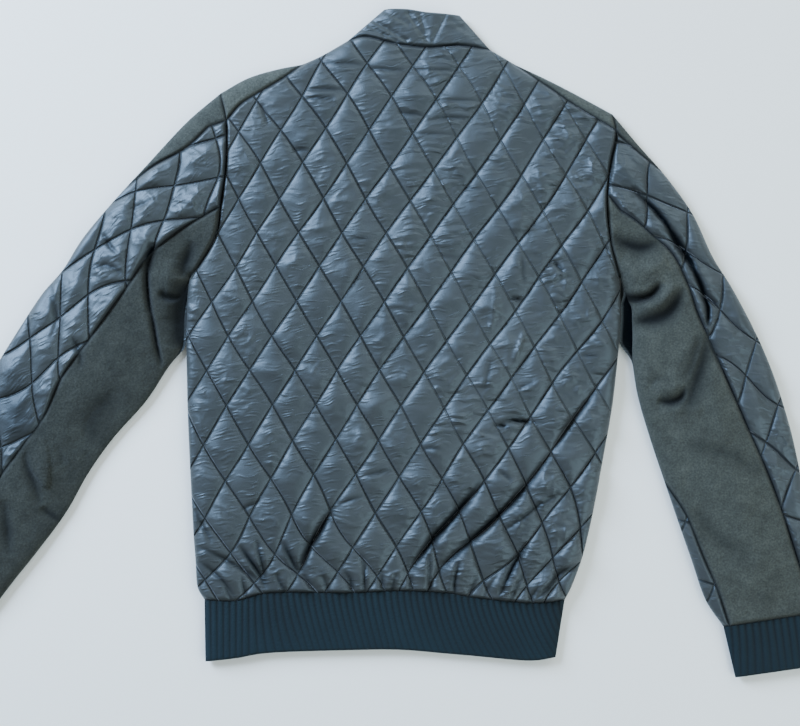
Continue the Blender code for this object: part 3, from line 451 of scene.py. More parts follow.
def wall_mesh(name, parts, material, nodes):
    """A closed wall for each part, (outer, inner, marks, faces up): a fine outer grid, an inner grid with a
    fourth of its points each way, painted in full shade, and a rim of triangles between their borders."""
    places, marks_of, faces, ends = [], [], [], [0]
    for outer, inner, marks, up in parts:
        fine = ends[-1] + np.arange(outer[..., 0].size).reshape(outer.shape[:2])
        plain = fine.max() + 1 + np.arange(inner[..., 0].size).reshape(inner.shape[:2])
        border, under = loop_of(fine), loop_of(plain)
        pick = under[((np.arange(len(border)) + 2) // 4) % len(under)]
        after, next_pick = np.roll(border, -1), np.roll(pick, -1)
        rims = [np.stack([after, border, pick], axis=-1)]
        rims.append(np.stack([after, pick, next_pick], axis=-1)[pick != next_pick])
        flip = (signed_area(loop_of(outer)) < 0) == up
        for group, turn in zip([quads_of(fine), quads_of(plain), *rims], (False, True, False, False)):
            faces.append(group[:, ::-1] if turn != flip else group)
        # The inside is painted in full shade; it shows at the armpits and through the neck
        shaded = marks[::4, ::4].copy()
        shaded[..., -1] = 1
        places += [outer.reshape(-1, 3), inner.reshape(-1, 3)]
        marks_of += [marks.reshape(-1, 4), shaded.reshape(-1, 4)]
        ends.append(plain.max() + 1)
    return finish_mesh(name, np.vstack(places), faces, np.vstack(marks_of), ends, material, nodes)


def finish_mesh(name, places, faces, marks, ends, material, nodes, body="jacket"):
    """Writes points and faces to a mesh, with two UV maps of the marks, and gives it to the frame. Poles
    are closed part by part; the parts run from one of the vertex numbers in ends to the next."""
    mesh = bpy.data.meshes.new(name)
    sizes = np.concatenate([np.full(len(f), f.shape[1]) for f in faces])
    corners = np.concatenate([f.ravel() for f in faces])
    mesh.vertices.add(len(places))
    mesh.vertices.foreach_set("co", ((places - MIDDLE) / 1000).ravel())
    mesh.loops.add(len(corners))
    mesh.loops.foreach_set("vertex_index", corners.astype(np.int32))
    mesh.polygons.add(len(sizes))
    mesh.polygons.foreach_set("loop_start", np.concatenate([[0], np.cumsum(sizes)[:-1]]).astype(np.int32))
    mesh.update(calc_edges=True)
    for layer, columns in (("cloth", marks[:, :2]), ("depth_and_shade", marks[:, 2:])):
        uv = mesh.uv_layers.new(name=layer)
        uv.data.foreach_set("uv", columns[corners].astype(np.float32).ravel())
    shape = bmesh.new()
    shape.from_mesh(mesh)
    for group in [shape.verts[a:b] for a, b in zip(ends, ends[1:])]:
        bmesh.ops.remove_doubles(shape, verts=group, dist=2e-6)
    shape.to_mesh(mesh)
    shape.free()
    mesh.shade_smooth()
    mesh.set_sharp_from_angle(angle=math.radians(65))
    mesh.materials.append(material)
    piece = bpy.data.objects.new(name, mesh)
    bpy.context.scene.collection.objects.link(piece)
    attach(piece, body)
    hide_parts(*nodes)
    return piece


def wall_grids(grid, edges, sewn, level, relief, marks, folded=None, tucks=0.0, flat_by=None, crown=CROWN):
    """A wall's outer and inner grids from its plan grid, at this level, or on the surface where it is None.

    The outside is side + (height - side) * rounding(distance / round), its height drawn down to the seam's
    by exp(-(seam distance / width)^2). The inside is plain, drawn in by the wall's width, and sinks under
    tucks deeper than 3 mm, as far as the lower cloth allows. Both rise by crown * (1 - exp(-(distance /
    reach)^1.5)), which fades out towards the lines in flat_by. At a folded edge the outside comes round to
    the inside over the last 3 mm. Marks gain painted shade, which darkens the colour near seams
    and in tucks."""
    plan, shape, on_top = grid.reshape(-1, 2), grid.shape[:2], level is not None
    far, way = inwards(plan, edges)
    far = np.where(far < 0.02, 0, far)
    away = np.min([nearest(plan, line)[0] for line in sewn] or [np.full(len(plan), 1e3)], axis=0)
    dip = np.exp(-((away / SEAM_WIDTH) ** 2))
    reach = EDGE_ROUND if on_top else UNDER_ROUND
    curve = rounding(far / reach)
    lift = np.zeros(len(plan))
    if flat_by is not None:
        lift = crown * (1 - np.exp(-((far / CROWN_REACH) ** 1.5)))
        for line in flat_by:
            lift = lift * (1 - np.exp(-((nearest(plan, line)[0] / CROWN_REACH) ** 2)))
    if on_top:
        inside = INSIDE_Z - np.clip(-np.asarray(tucks) - PLAIN_DEPTH, 0, INSIDE_Z + lift - UNDER_WALL - AIR)
        high = SEAM_Z * dip + (level + relief + tucks) * (1 - dip)
        high = np.maximum(high, inside + THINNEST)
    else:
        high = relief * (1 - dip) + UNDER_SEAM_Z * dip
        inside = UNDER_WALL
    z = SIDE_SEAM_Z + (high - SIDE_SEAM_Z) * curve + lift
    z_in = SIDE_SEAM_Z + (inside - SIDE_SEAM_Z) * curve + lift
    if folded is not None:
        turn = rounding(nearest(plan, folded)[0] / FOLD_ROUND)
        z = z_in + (z - z_in) * (0.25 + 0.75 * turn)
    outer = np.column_stack([plan, z]).reshape(*shape, 3)
    moved = plan + way * (EDGE_WALL * np.clip(1 - far / reach, 0, 1))[:, None]
    inner = np.column_stack([moved, z_in]).reshape(*shape, 3)[::4, ::4]
    # Painted shade: the colour darkens near seams and in tucks, in full at tucks 4.5 mm deep
    shade = SEAM_SHADE * np.exp(-((away / SEAM_SHADE_WIDTH) ** 2))
    painted_shade = np.maximum(shade, np.clip(-np.asarray(tucks) / TUCK_SHADE_DEPTH, 0, 1))
    return outer, inner, np.column_stack([marks, painted_shade]).reshape(*shape, 4), on_top


def counted(heads, rise, *rows):
    """Stitch lines as (count at each place, places). A row opens with this many counts, one for each set of
    lines, which rise by this much from each of its places to the next."""
    counts, spots = [], []
    for row in rows:
        places = np.reshape(row[heads:], (-1, 2)).astype(float)
        counts.append(np.array(row[:heads]) + rise * np.arange(len(places), dtype=float)[:, None])
        spots.append(places)
    return [(count, np.vstack(spots)) for count in np.vstack(counts).T]


# Where the back's stitch lines cross, in rows from left to right. The first set falls to the left. The
# lines bend where the cloth is dragged towards the hem.
STITCH_CROSSINGS = counted(
    2, 1,
    (0, 0, -34, 319, 18, 316, 69, 313, 121, 313),
    (-1, -2, -106, 274, -54, 279, -3, 282, 46, 279, 96, 276, 147, 271),
    (-1, -3, -125, 239, -78, 241, -28, 243, 20, 241, 69, 237, 118, 232),
    (0, -3, -101, 205, -54, 205, -4, 204, 44, 200, 93, 197, 140, 192),
    (0, -4, -125, 164, -80, 163, -30, 165, 16, 164, 66, 162, 114, 158, 165, 153, 214, 151, 265, 151),
    (0, -5, -149, 126, -105, 127, -58, 127, -10, 126, 40, 126, 90, 123, 137, 119, 187, 115, 235, 112),
    (1, -5, -128, 87, -84, 90, -35, 89, 14, 88, 63, 87, 112, 82, 161, 80, 210, 77, 258, 72),
    (2, -5, -110, 50, -60, 50, -11, 50, 38, 49, 86, 46, 134, 42, 184, 39, 233, 35, 281, 28),
    (2, -6, -137, 11, -88, 11, -38, 11, 11, 11, 59, 10, 107, 5, 155, 2, 205, -2, 253, -5),
    (2, -7, -161, -28, -113, -27, -62, -27, -15, -27, 32, -27, 82, -29, 129, -33, 180, -35, 224, -41),
    (11, 2, 274, -47),
    (3, -7, -139, -66, -87, -66, -39, -66, 7, -66, 56, -67, 105, -70, 153, -72, 201, -80, 249, -82),
    (3, -8, -165, -112, -114, -111, -65, -105, -16, -104, 31, -105, 78, -110, 125, -110, 176, -114, 222, -117),
    (4, -8, -140, -150, -89, -149, -42, -144, 6, -144, 54, -146, 102, -148, 150, -150, 197, -157, 246, -159),
    (4, -9, -163, -194, -114, -190, -65, -188, -22, -183, 27, -185, 79, -186, 121, -185, 165, -190, 211, -195),
    (13, 0, 257, -203), (5, -9, -134, -231),
    (7, -7, -46, -225, 1, -227, 52, -226, 91, -215, 134, -218, 187, -233, 229, -241), (6, -8, -84, -235),
    (7, -8, -59, -254, -13, -252), (10, -5, 64, -253, 97, -252, 148, -262, 196, -270, 231, -259),
    (14, 0, 258, -240),
)
STITCH_REACH = 65.0
# The short straight creases of the back: two ends, how far each rises or sinks, and its half width
# Those that sink are painted darker as shade
SHARP_CREASES = table(
    "x0 y0 x1 y1 rise width",
    (191, 101, 192.5, 68, -1.6, 2.2), (163, 64, 155, 17, 1.7, 2.6), (193, 16, 182, -18, 1.9, 2.4),
    (157, -12, 149, -52, -1.7, 3), (174, 52.5, 194, 52.5, -1.9, 1.8), (168, -83, 216, -85.5, -2.8, 2),
    (158, -88, 178, -90.5, -2.4, 1.8), (183, -52, 204, -45, 1.8, 2), (230, -26.5, 268, -41.5, 1.8, 2.2),
    (270, 11, 287, 1, 1.7, 2), (256, -11, 276, -11, -1.9, 1.8), (204, -2, 228, -7, 1.7, 2),
    (210, 79, 240, 80.5, 1.9, 2.2), (224, 96, 238, 82, -1.7, 1.8), (72, 308.5, 119, 308.5, -1.9, 1.8),
    (47, 277.5, 96, 280, 1.5, 1.8), (95, 274.5, 146, 274, -1.8, 1.8), (22, 242, 71, 243.5, 1.5, 1.8),
    (70, 236.5, 116, 236.5, -1.7, 1.8), (54, 193, 82, 193, 1.7, 1.8), (-1, 120, 23, 120, -1.9, 1.8),
    (-24, 161, -2, 162.5, 1.5, 1.8), (-52, 131.5, -20, 131.5, 1.5, 1.8), (31, 146.5, 84, 145, 1.6, 1.8),
    (-101, 271, -92, 246, -2.4, 2.6), (141, 212, 176, 209, 1.6, 1.8), (118, 176, 150, 175, -1.7, 1.8),
    (166, 132, 206, 130, 1.6, 1.9), (92, 100, 124, 99, -1.7, 1.8), (44, 66, 80, 66, 1.5, 1.8),
)


def bumps(points, spots, reach):
    """exp(-(distance / reach)^2) from every point to every spot."""
    apart = np.linalg.norm(points[:, None] - spots[None], axis=2)
    return np.exp(-((apart / reach) ** 2))


def stitch_count(points, count, spots, reach):
    """A smooth count of stitch lines that is right at each spot: a plane plus the sum of
    weight * exp(-(distance / reach)^2), the plane by least squares and the weights by solving."""
    plane = np.linalg.lstsq(np.insert(spots, 2, 1, axis=1), count, rcond=None)[0]
    left_over = count - np.insert(spots, 2, 1, axis=1) @ plane
    weights = np.linalg.solve(bumps(spots, spots, reach) + 0.05 * np.eye(len(spots)), left_over)
    return np.insert(points, 2, 1, axis=1) @ plane + bumps(points, spots, reach) @ weights


def lattice(points, both, reach):
    """How many stitch lines of each set lie before a place."""
    return [stitch_count(points, count, spots, reach) for count, spots in both]


def pillow(distance, width):
    """Height from 0 to 1 across a channel of this width: (1 - (1 - 2 d / width)^2.4)^0.6."""
    return (1 - (1 - np.clip(2 * distance / width, 0, 1)) ** 2.4) ** 0.6


def nylon_relief(x, y, a, b, cross, spacing, seed):
    """Puffs between the stitch lines: rise * pillow * (1 - cross * (1 - pillow)), cross being how deep the
    second set of lines is. Each diamond has its own lean, fill and creases, none of them at a line, and a
    facet with straight sides, height * (1 - distance from its crest / 0.42)."""
    own = np.random.default_rng(seed).uniform(-1, 1, (64, 64, 7))
    own = own[np.floor(a).astype(int) % 64, np.floor(b).astype(int) % 64].T
    across, down = a % 1 - 0.5, b % 1 - 0.5
    first, second = (pillow((0.5 - np.abs(share)) * spacing, spacing) for share in (across, down))
    dome = first * (1 - cross * (1 - second))
    lean = 3.4 * (own[0] * across + own[1] * down) + 0.14 * NYLON_PUFF * own[2]
    creases = 1.7 * crinkles(x, y, seed, 26, 9.5, 0.12) + 1.0 * crinkles(x, y, seed + 9, 13, 6, -0.3) - 1.1
    swell = 0.8 * soft_noise(x / 17, y / 13, seed + 7)
    from_crest = np.abs(down - across - 0.3 * own[4] - 0.35 * own[5] * (down + across))
    facet = FACET * np.clip(1 - from_crest / 0.42, 0, 1) * (0.5 + 0.5 * own[6]) - 0.4 * FACET
    return NYLON_PUFF * dome + (lean + creases * (0.65 + 0.6 * own[3]) + swell + facet) * first * second


# Nylon taffeta: a close plain weave with a calendered face, so it has a soft satin shine with blue lights
NYLON_COLOUR = hex_colour("#3b3b38")
NYLON_SHADE = hex_colour("#292927")
NYLON_SHINE = (0.72, 0.88, 1.0, 1.0)
# Near black: the stitch thread's own colour, and painted shade in grooves, seams, tucks and insides
THREAD_AND_SHADE_COLOUR = hex_colour("#04070a")
LINE_SPACING = 41.0
LONG_CREASES = (0.036, 0.0095, 1.0)
SHORT_CREASES = (0.018, 0.0040, 1.0)


def strokes(tree, place, turn, size):
    """Heights from 0 to 1 of short creases, one in most cells of this size: 1 - distance / 0.46."""
    links = {"Vector": place, "Rotation": (0, 0, turn), "Scale": size}
    laid = add_node(tree, "Mapping", links, vector_type="TEXTURE")
    far = add_node(tree, "TexVoronoi", {"Vector": laid, "Scale": 1}, "Distance", voronoi_dimensions="2D")
    own = ranged(tree, far.node.outputs["Color"], 0.3, 0.75)
    return maths(tree, "MULTIPLY", ranged(tree, far, 0, 0.46, 1, 0), own)


def quilted_nylon(name, spacing, turn):
    """Nylon taffeta with a stitch line pressed in where either count is whole, 1.5 mm wide each way, and short
    creases of about 36 by 9 mm and 18 by 4 mm, more of them on some diamonds than on others. The line is
    painted near black, the thread's own colour with painted shade in its groove, and the colour and shine
    are painted dark as shade where the marks say so."""
    settings = {"Roughness": 0.48, "IOR": 1.53, "Sheen Weight": 0.1, "Sheen Roughness": 0.4}
    material, tree, shader, place = new_material(name, settings)
    *counts, cross, painted_shade_mark = marks_in(tree)
    lines = []
    for count in counts:
        away = maths(tree, "MULTIPLY", maths(tree, "PINGPONG", count, 0.5), spacing)
        lines.append(ranged(tree, away, 0.1, 1.55, 1, 0, interpolation_type="SMOOTHSTEP"))
    groove = maths(tree, "MAXIMUM", lines[0], maths(tree, "MULTIPLY", lines[1], cross))
    painted_shade = maths(tree, "MAXIMUM", maths(tree, "MULTIPLY", groove, 0.64), painted_shade_mark)
    tone = mixed(tree, noise(tree, place, 9, 3), NYLON_SHADE, NYLON_COLOUR)

    bend = noise(tree, place, 38, 1, out="Color")
    bent = add_node(tree, "VectorMath", {0: bend, 1: (0.014, 0.014, 0), 2: place}, operation="MULTIPLY_ADD")
    cell = add_node(tree, "CombineXYZ", {axis: maths(tree, "FLOOR", counts[axis]) for axis in (0, 1)})
    own = add_node(tree, "TexWhiteNoise", {"Vector": cell}, "Value", noise_dimensions="2D")
    # The cloth is creased more where it is dragged, which is where the second set of lines is faint
    drawn = maths(tree, "MULTIPLY", own, ranged(tree, cross, 0.4, 1, 2, 0.75))
    gathered = maths(tree, "MULTIPLY", strokes(tree, bent, turn, LONG_CREASES), drawn)
    both = maths(tree, "MULTIPLY_ADD", strokes(tree, bent, turn + 0.12, SHORT_CREASES), 0.36, gathered)
    weave = maths(tree, "MULTIPLY_ADD", noise(tree, place, 420, 3, 0.6), 0.12, both)
    relief = maths(tree, "MULTIPLY_ADD", groove, -1.4, weave)
    # Stitch lines take the thread's colour with painted groove shade; seams, tucks and insides get painted
    # shade
    wire(shader, {
        "Base Color": mixed(tree, painted_shade, tone, THREAD_AND_SHADE_COLOUR),
        "Specular Tint": mixed(tree, painted_shade, NYLON_SHINE, THREAD_AND_SHADE_COLOUR),
        "Normal": bumped(tree, relief, 1, 0.0014),
    })
    return material


nylon = quilted_nylon("quilted nylon taffeta", LINE_SPACING, 0.05)

left, right = side_lines("left"), side_lines("right")
body_edges = facing((50.0, 60.0), left["top"], left["low"], right["top"], right["low"])
hem_seam = curve_through(points_of(HEM, "x", "seam"), 113)
hem_free = curve_through(points_of(HEM, "free_x", "free"), 113)
neck_seam = collar_line("back", "seam")
back_left, back_right = (
    np.vstack([lines["flank"], lines["hole"][lines["cap"] :][::-1][1:]]) for lines in (left, right)
)
back_top = [left["over"][::-1], left["neck"][::-1][1:], neck_seam[1:], right["neck"][1:], right["over"][1:]]
back_grid = patch(hem_seam, np.vstack(back_top), back_left, back_right, 256, 332)
plan = back_grid.reshape(-1, 2)
x, y = plan.T
a, b = lattice(plan, STITCH_CROSSINGS, STITCH_REACH)
# The lines that fall to the right are pulled less deep on the right half, where the cloth is dragged
cross = 1 - 0.6 * np.clip((x - 20) / 90, 0, 1) * np.clip((y + 150) / 70, 0, 1)
# It is drawn flatter over the left shoulder blade and below the collar, and lies fuller to the right
fullness = 0.8 + 0.38 * np.clip((x + 80) / 260, 0, 1) - 0.2 * np.clip((y - 180) / 100, 0, 1)
relief = fullness * nylon_relief(x, y, a, b, cross, LINE_SPACING, 21)
tucks = fold_relief(plan, CREASES) + fold_relief(plan, SHARP_CREASES)
sewn = [hem_seam, left["over"], right["over"], neck_seam]
sewn += [left["hole"][left["cap"] :], right["hole"][right["cap"] :]]
marks = np.column_stack([a, b, cross])
open_ends = [hem_seam, neck_seam]
part = wall_grids(back_grid, body_edges, sewn, NYLON_Z, relief, marks, tucks=tucks, flat_by=open_ends)
back = wall_mesh("back_panel", [part], nylon, ["back"])

# The fronts: wool fleece, each one piece with the strip that comes over the shoulder and is sewn to the
# back panel. They lie flat on the surface and meet at the zip. Their fronts were not in view.
FLEECE_Z = 12.5
FLEECE_DARK = hex_colour("#2b2c27")
FLEECE_LIGHT = hex_colour("#3e3f38")
# Near black: painted shade at seams, in tucks and on the insides of walls
FLEECE_PAINTED_SHADE = hex_colour("#050706")
ZIP_LOW, ZIP_HIGH = np.array([[34.7, -341.0], [76.2, 317.0]])
ZIP_LENGTH = float(np.linalg.norm(ZIP_HIGH - ZIP_LOW))
ZIP_ALONG = (ZIP_HIGH - ZIP_LOW) / ZIP_LENGTH
ZIP_ACROSS = np.array([ZIP_ALONG[1], -ZIP_ALONG[0]])
ZIP_EDGE = 5.0


def fleece_material(name, tone=1.0):
    """Fulled wool: a dense matt nap of about 0.4 mm, drawn at 2 mm to show, with heathered fibres, mottling
    of 15 mm, and painted shade, near black, where the marks say it lies in shade. The tone paints the
    whole copy lighter or darker: painted light above 1, painted shade below."""
    settings = {"Roughness": 0.95, "IOR": 1.45, "Specular IOR Level": 0.25, "Sheen Weight": 0.12}
    material, tree, shader, place = new_material(name, settings)
    dark, light = ((*np.multiply(tone, nap[:3]).tolist(), 1.0) for nap in (FLEECE_DARK, FLEECE_LIGHT))
    mottle = ranged(tree, noise(tree, place, 55, 4, 0.6), 0.2, 0.8)
    flecked = mixed(tree, 0.75, mixed(tree, mottle, dark, light), noise(tree, place, 480, 3), "SOFT_LIGHT")
    tufts = bumped(tree, noise(tree, place, 150, 5, 0.7), 0.9, 0.0016)
    wire(shader, {"Base Color": mixed(tree, marks_in(tree)[-1], flecked, FLEECE_PAINTED_SHADE), "Normal": tufts})
    return material


fleece = fleece_material("fulled wool fleece")
# Copies with painted light and shade: the shoulders and the right sleeve lighter, the left sleeve darker
shoulder_fleece_painted_light = fleece_material("fulled wool fleece, shoulders", 1.45)
sleeve_fleece_painted_light_and_shade = {
    "left": fleece_material("fulled wool fleece, left sleeve", 0.72),
    "right": fleece_material("fulled wool fleece, right sleeve", 1.16),
}


def cut_at_zip(line, sign):
    """The part of a line, from left to right, that lies on one side of the zip, up to the zip's edge."""
    beside = (line - ZIP_LOW) @ ZIP_ACROSS
    at = np.array([[np.interp(sign * ZIP_EDGE, beside, column) for column in line.T]])
    kept = line[beside * sign > ZIP_EDGE + 1]
    return np.vstack([kept, at]) if sign < 0 else np.vstack([at, kept])


def plain_marks(plan, cloth=None):
    """Marks where both sets of lines are equally deep: the lattice, or the place in metres, and 1."""
    return np.column_stack([plan / 1000 if cloth is None else cloth, np.ones(len(plan))])


def under_wall(grid, edges, sewn, seed, cloth=None, **more):
    """The wall of cloth that lies on the surface: it lifts off it by up to 0.5 mm in patches of 30 mm."""
    plan = grid.reshape(-1, 2)
    lift = 0.5 * np.clip(soft_noise(*plan.T / 30, seed), 0, 1)
    return wall_grids(grid, edges, sewn, None, lift, plain_marks(plan, cloth), **more)


def fleece_wall(grid, edges, sewn, seed, folds=0.0, **more):
    """A wall of fleece on top: wide swells of 50 mm, dents of 14 mm between them, and its folds."""
    plan = grid.reshape(-1, 2)
    relief = 0.9 * soft_noise(*plan.T / 50, seed) + 0.35 * soft_noise(*plan.T / 14, seed + 1) + folds
    return wall_grids(grid, edges, sewn, FLEECE_Z, relief, plain_marks(plan), **more)


neckline = collar_line("front", "seam")
for side, lines, sign in (("left", left, -1), ("right", right, 1)):
    hole, over = lines["hole"][: lines["cap"] + 1], lines["over"]
    armhole_side = np.vstack([lines["flank"], lines["hole"][::-1][1:]])
    neck_part, hem_part = cut_at_zip(neckline, sign), cut_at_zip(hem_seam, sign)
    zip_side = np.array([hem_part[-1], neck_part[-1]] if sign < 0 else [hem_part[0], neck_part[0]])
    if sign < 0:
        top = np.vstack([lines["edge"][::-1], lines["neck"][::-1][1:], neck_part[1:]])
        grid = patch(hem_part, top, armhole_side, zip_side, 80, 200)
    else:
        top = np.vstack([neck_part, lines["neck"][1:], lines["edge"][1:]])
        grid = patch(hem_part, top, zip_side, armhole_side, 80, 200)
    front = under_wall(grid, body_edges, [hem_part, neck_part, lines["hole"], zip_side], 31)
    grid = patch(over, lines["edge"], over[[0, 0]], hole[::-1], 96, 24)
    strip = fleece_wall(grid, body_edges, [over, hole], 33, flat_by=open_ends)
    piece = wall_mesh(f"{side}_front", [front, strip], shoulder_fleece_painted_light, [f"front_{side}"])

# The sleeves: each four strips from armhole to cuff. Quilted nylon runs down the outside, fleece down the
# back of the arm, and on the surface below lie the fleece top strip and the nylon inseam strip.
# Places along the sleeves' stitch lines, after the count of each line, for the first and the second set
SLEEVE_STITCHES = {
    "left": counted(
        1, 0,
        (-1, -147, 186, -157, 169, -165, 144), (0, -190, 208, -194, 192, -203, 157, -206, 140, -222, 112),
        (1, -239, 186, -244, 157, -245, 128, -248, 105, -251, 68),
        (2, -273, 150, -280, 137, -287, 105, -293, 83, -293, 52, -293, 24),
        (3, -323, 88, -324, 63, -324, 40, -325, 18, -325, -6, -328, -20, -325, -37),
        (4, -362, 34, -358, 2, -355, -37, -355, -60, -347, -84), (5, -393, -96, -389, -136),
    ) + counted(
        1, 0,
        (-1, -166, 228, -141, 234, -192, 220),
        (0, -267, 160, -244, 172, -222, 177, -196, 178, -170, 184, -149, 187),
        (1, -338, 72, -323, 83, -290, 105, -270, 118, -244, 131, -208, 140, -183, 143, -165, 144),
        (2, -393, -12, -362, 6, -325, 31, -292, 59, -260, 71),
        (3, -393, -59, -358, -44, -343, -29, -332, -21, -325, -10, -297, 4),
        (4, -393, -115, -385, -111, -353, -96, -344, -91),
    ),
    "right": counted(
        1, 0,
        (0, 288, 208, 287, 175), (1, 333, 204, 330, 177, 332, 164), (2, 376, 148, 376, 130, 376, 110),
        (3, 417, 83, 416, 63, 414, 43), (4, 452, 1, 441, -34, 433, -63),
        (5, 477, -69, 469, -88, 465, -106), (6, 498, -137, 482, -176),
    ) + counted(
        1, 0,
        (-1, 292, 230, 324, 224), (0, 292, 179, 320, 171, 332, 171, 348, 158, 374, 151),
        (1, 364, 116, 376, 104, 391, 94, 405, 86), (2, 382, 68, 398, 54, 419, 34, 440, 13),
        (3, 408, -10, 428, -20, 445, -38, 476, -66),
        (4, 436, -88, 446, -100, 465, -106, 480, -122, 497, -139), (5, 464, -178, 484, -189, 500, -194),
    ),
}
# Swells of the cloth as it lies: a line of three points, its rise and half width
FOLDS = table(
    "x0 y0 x1 y1 x2 y2 rise width",
    (-200, 96, -204, 70, -206, 30, 5, 15), (302, 92, 325, 82, 352, 98, 4.8, 13),
    (322, 42, 346, 48, 362, 70, 4, 7), (338, -42, 350, -49, 366, -47, 3, 9),
    (395, -70, 375, -72, 345, -70, 3.6, 9), (-352, -100, -343, -140, -336, -170, 2.2, 10),
    (400, -20, 410, -70, 420, -110, 2.2, 16), (380, -145, 420, -165, 450, -185, 2, 18),
    (-196, 0, -275, -105, -352, -220, -3.6, 34),
)
# Creases, each a line of four points as on the back; where they sink, the colour is painted darker as shade
SLEEVE_CREASES = table(
    "x0 y0 x1 y1 x2 y2 x3 y3 rise width",
    (312, 178, 326, 165, 336, 156, 351, 138, -4, 3), (320, 171, 336, 156, 351, 138, 365, 116, -6.5, 3.2),
    (351, 138, 365, 116, 376, 100, 389, 73, -8, 4.2), (376, 100, 389, 73, 398, 54, 413, 45, -6.5, 3.4),
    (389, 73, 395, 56, 399, 40, 398, 20, -6.5, 3.2), (398, 20, 401, 2, 409, -13, 417, -29, -4, 3.2),
    (-226, 108, -228, 78, -226, 50, -221, 24, -7.5, 2.8),
    (-226, 50, -221, 24, -217, 0, -212, -24, -6, 2.8), (-220, 116, -222, 108, -226, 96, -228, 78, -7, 4.4),
    (-176, 117, -181, 104, -186, 92, -190, 76, -4.5, 7), (-214, 61, -206, 55, -196, 54, -184, 60, -8.5, 5),
    (-184, 74, -184, 48, -185, 22, -192, -4, -9, 15), (296, 60, 316, 53, 334, 56, 347, 70, -9.5, 4.2),
    (372, 66, 360, 44, 345, 32, 312, 26, -6, 8), (290, 122, 308, 114, 326, 110, 348, 118, -5, 8),
    (343, -60, 356, -63, 368, -58, 375, -45, -6, 4.8), (375, -45, 376, -34, 382, -16, 392, 17, -2.6, 7),
    (333, -43, 342, -38, 351, -38, 360, -45, -1.6, 5), (402, 20, 392, -20, 380, -55, 372, -82, -4, 9),
    (368, -105, 396, -114, 430, -125, 464, -148, -1.8, 9),
    (384, -181, 400, -204, 422, -224, 454, -236, -1.8, 9),
    (-361, -111, -362, -132, -353, -156, -346, -179, -3.4, 5),
    (-346, -179, -342, -184, -334, -190, -324, -197, -3.6, 3.4),
    (-388, -172, -386, -186, -384, -206, -382, -235, -3.2, 6),
    # This row and the last are wide and shallow, mostly to paint shade on the left sleeve
    (-262, -44, -280, -68, -290, -88, -284, -112, -2.4, 12),
    (-329, -112, -326, -119, -323, -125, -319, -134, -1.6, 4),
    (-337, 71, -333, 52, -329, 29, -335, 7, -2.4, 3),
    (-278, 126, -272, 116, -266, 108, -258, 102, -3, 2.8),
    (-290, 86, -278, 90, -266, 88, -256, 80, -2.6, 2.6),
    (-312, 10, -306, 0, -302, -12, -302, -26, -3.4, 3.6),
    (-248, 152, -238, 156, -228, 160, -216, 166, -2.4, 2.6),
    (-384, -14, -376, -50, -372, -90, -378, -135, -2.1, 28),
)
ARMPIT_SLACK = {"left": 6.0, "right": 17.0}
ARMPIT_Y = 22.0
ARMPIT_REACH = 30.0
SLEEVE_SPACING = 38.0
SLEEVE_CROWN = 9.3
SLEEVE_STITCH_REACH = 50.0
sleeve_nylon = {
    "left": quilted_nylon("quilted nylon, left sleeve", SLEEVE_SPACING, 0.5),
    "right": quilted_nylon("quilted nylon, right sleeve", SLEEVE_SPACING, -0.35),
}


def sleeve_quilt(side, grid, edges, sewn, seed, puff=1.0, **more):
    """A wall of quilted nylon on top, its puffs made this much of their height."""
    plan = grid.reshape(-1, 2)
    a, b = lattice(plan, SLEEVE_STITCHES[side], SLEEVE_STITCH_REACH)
    marks = plain_marks(plan, np.column_stack([a, b]))
    relief = nylon_relief(*plan.T, a, b, marks[:, 2], SLEEVE_SPACING, seed) * puff
    return wall_grids(grid, edges, sewn, NYLON_Z, relief, marks, **more)


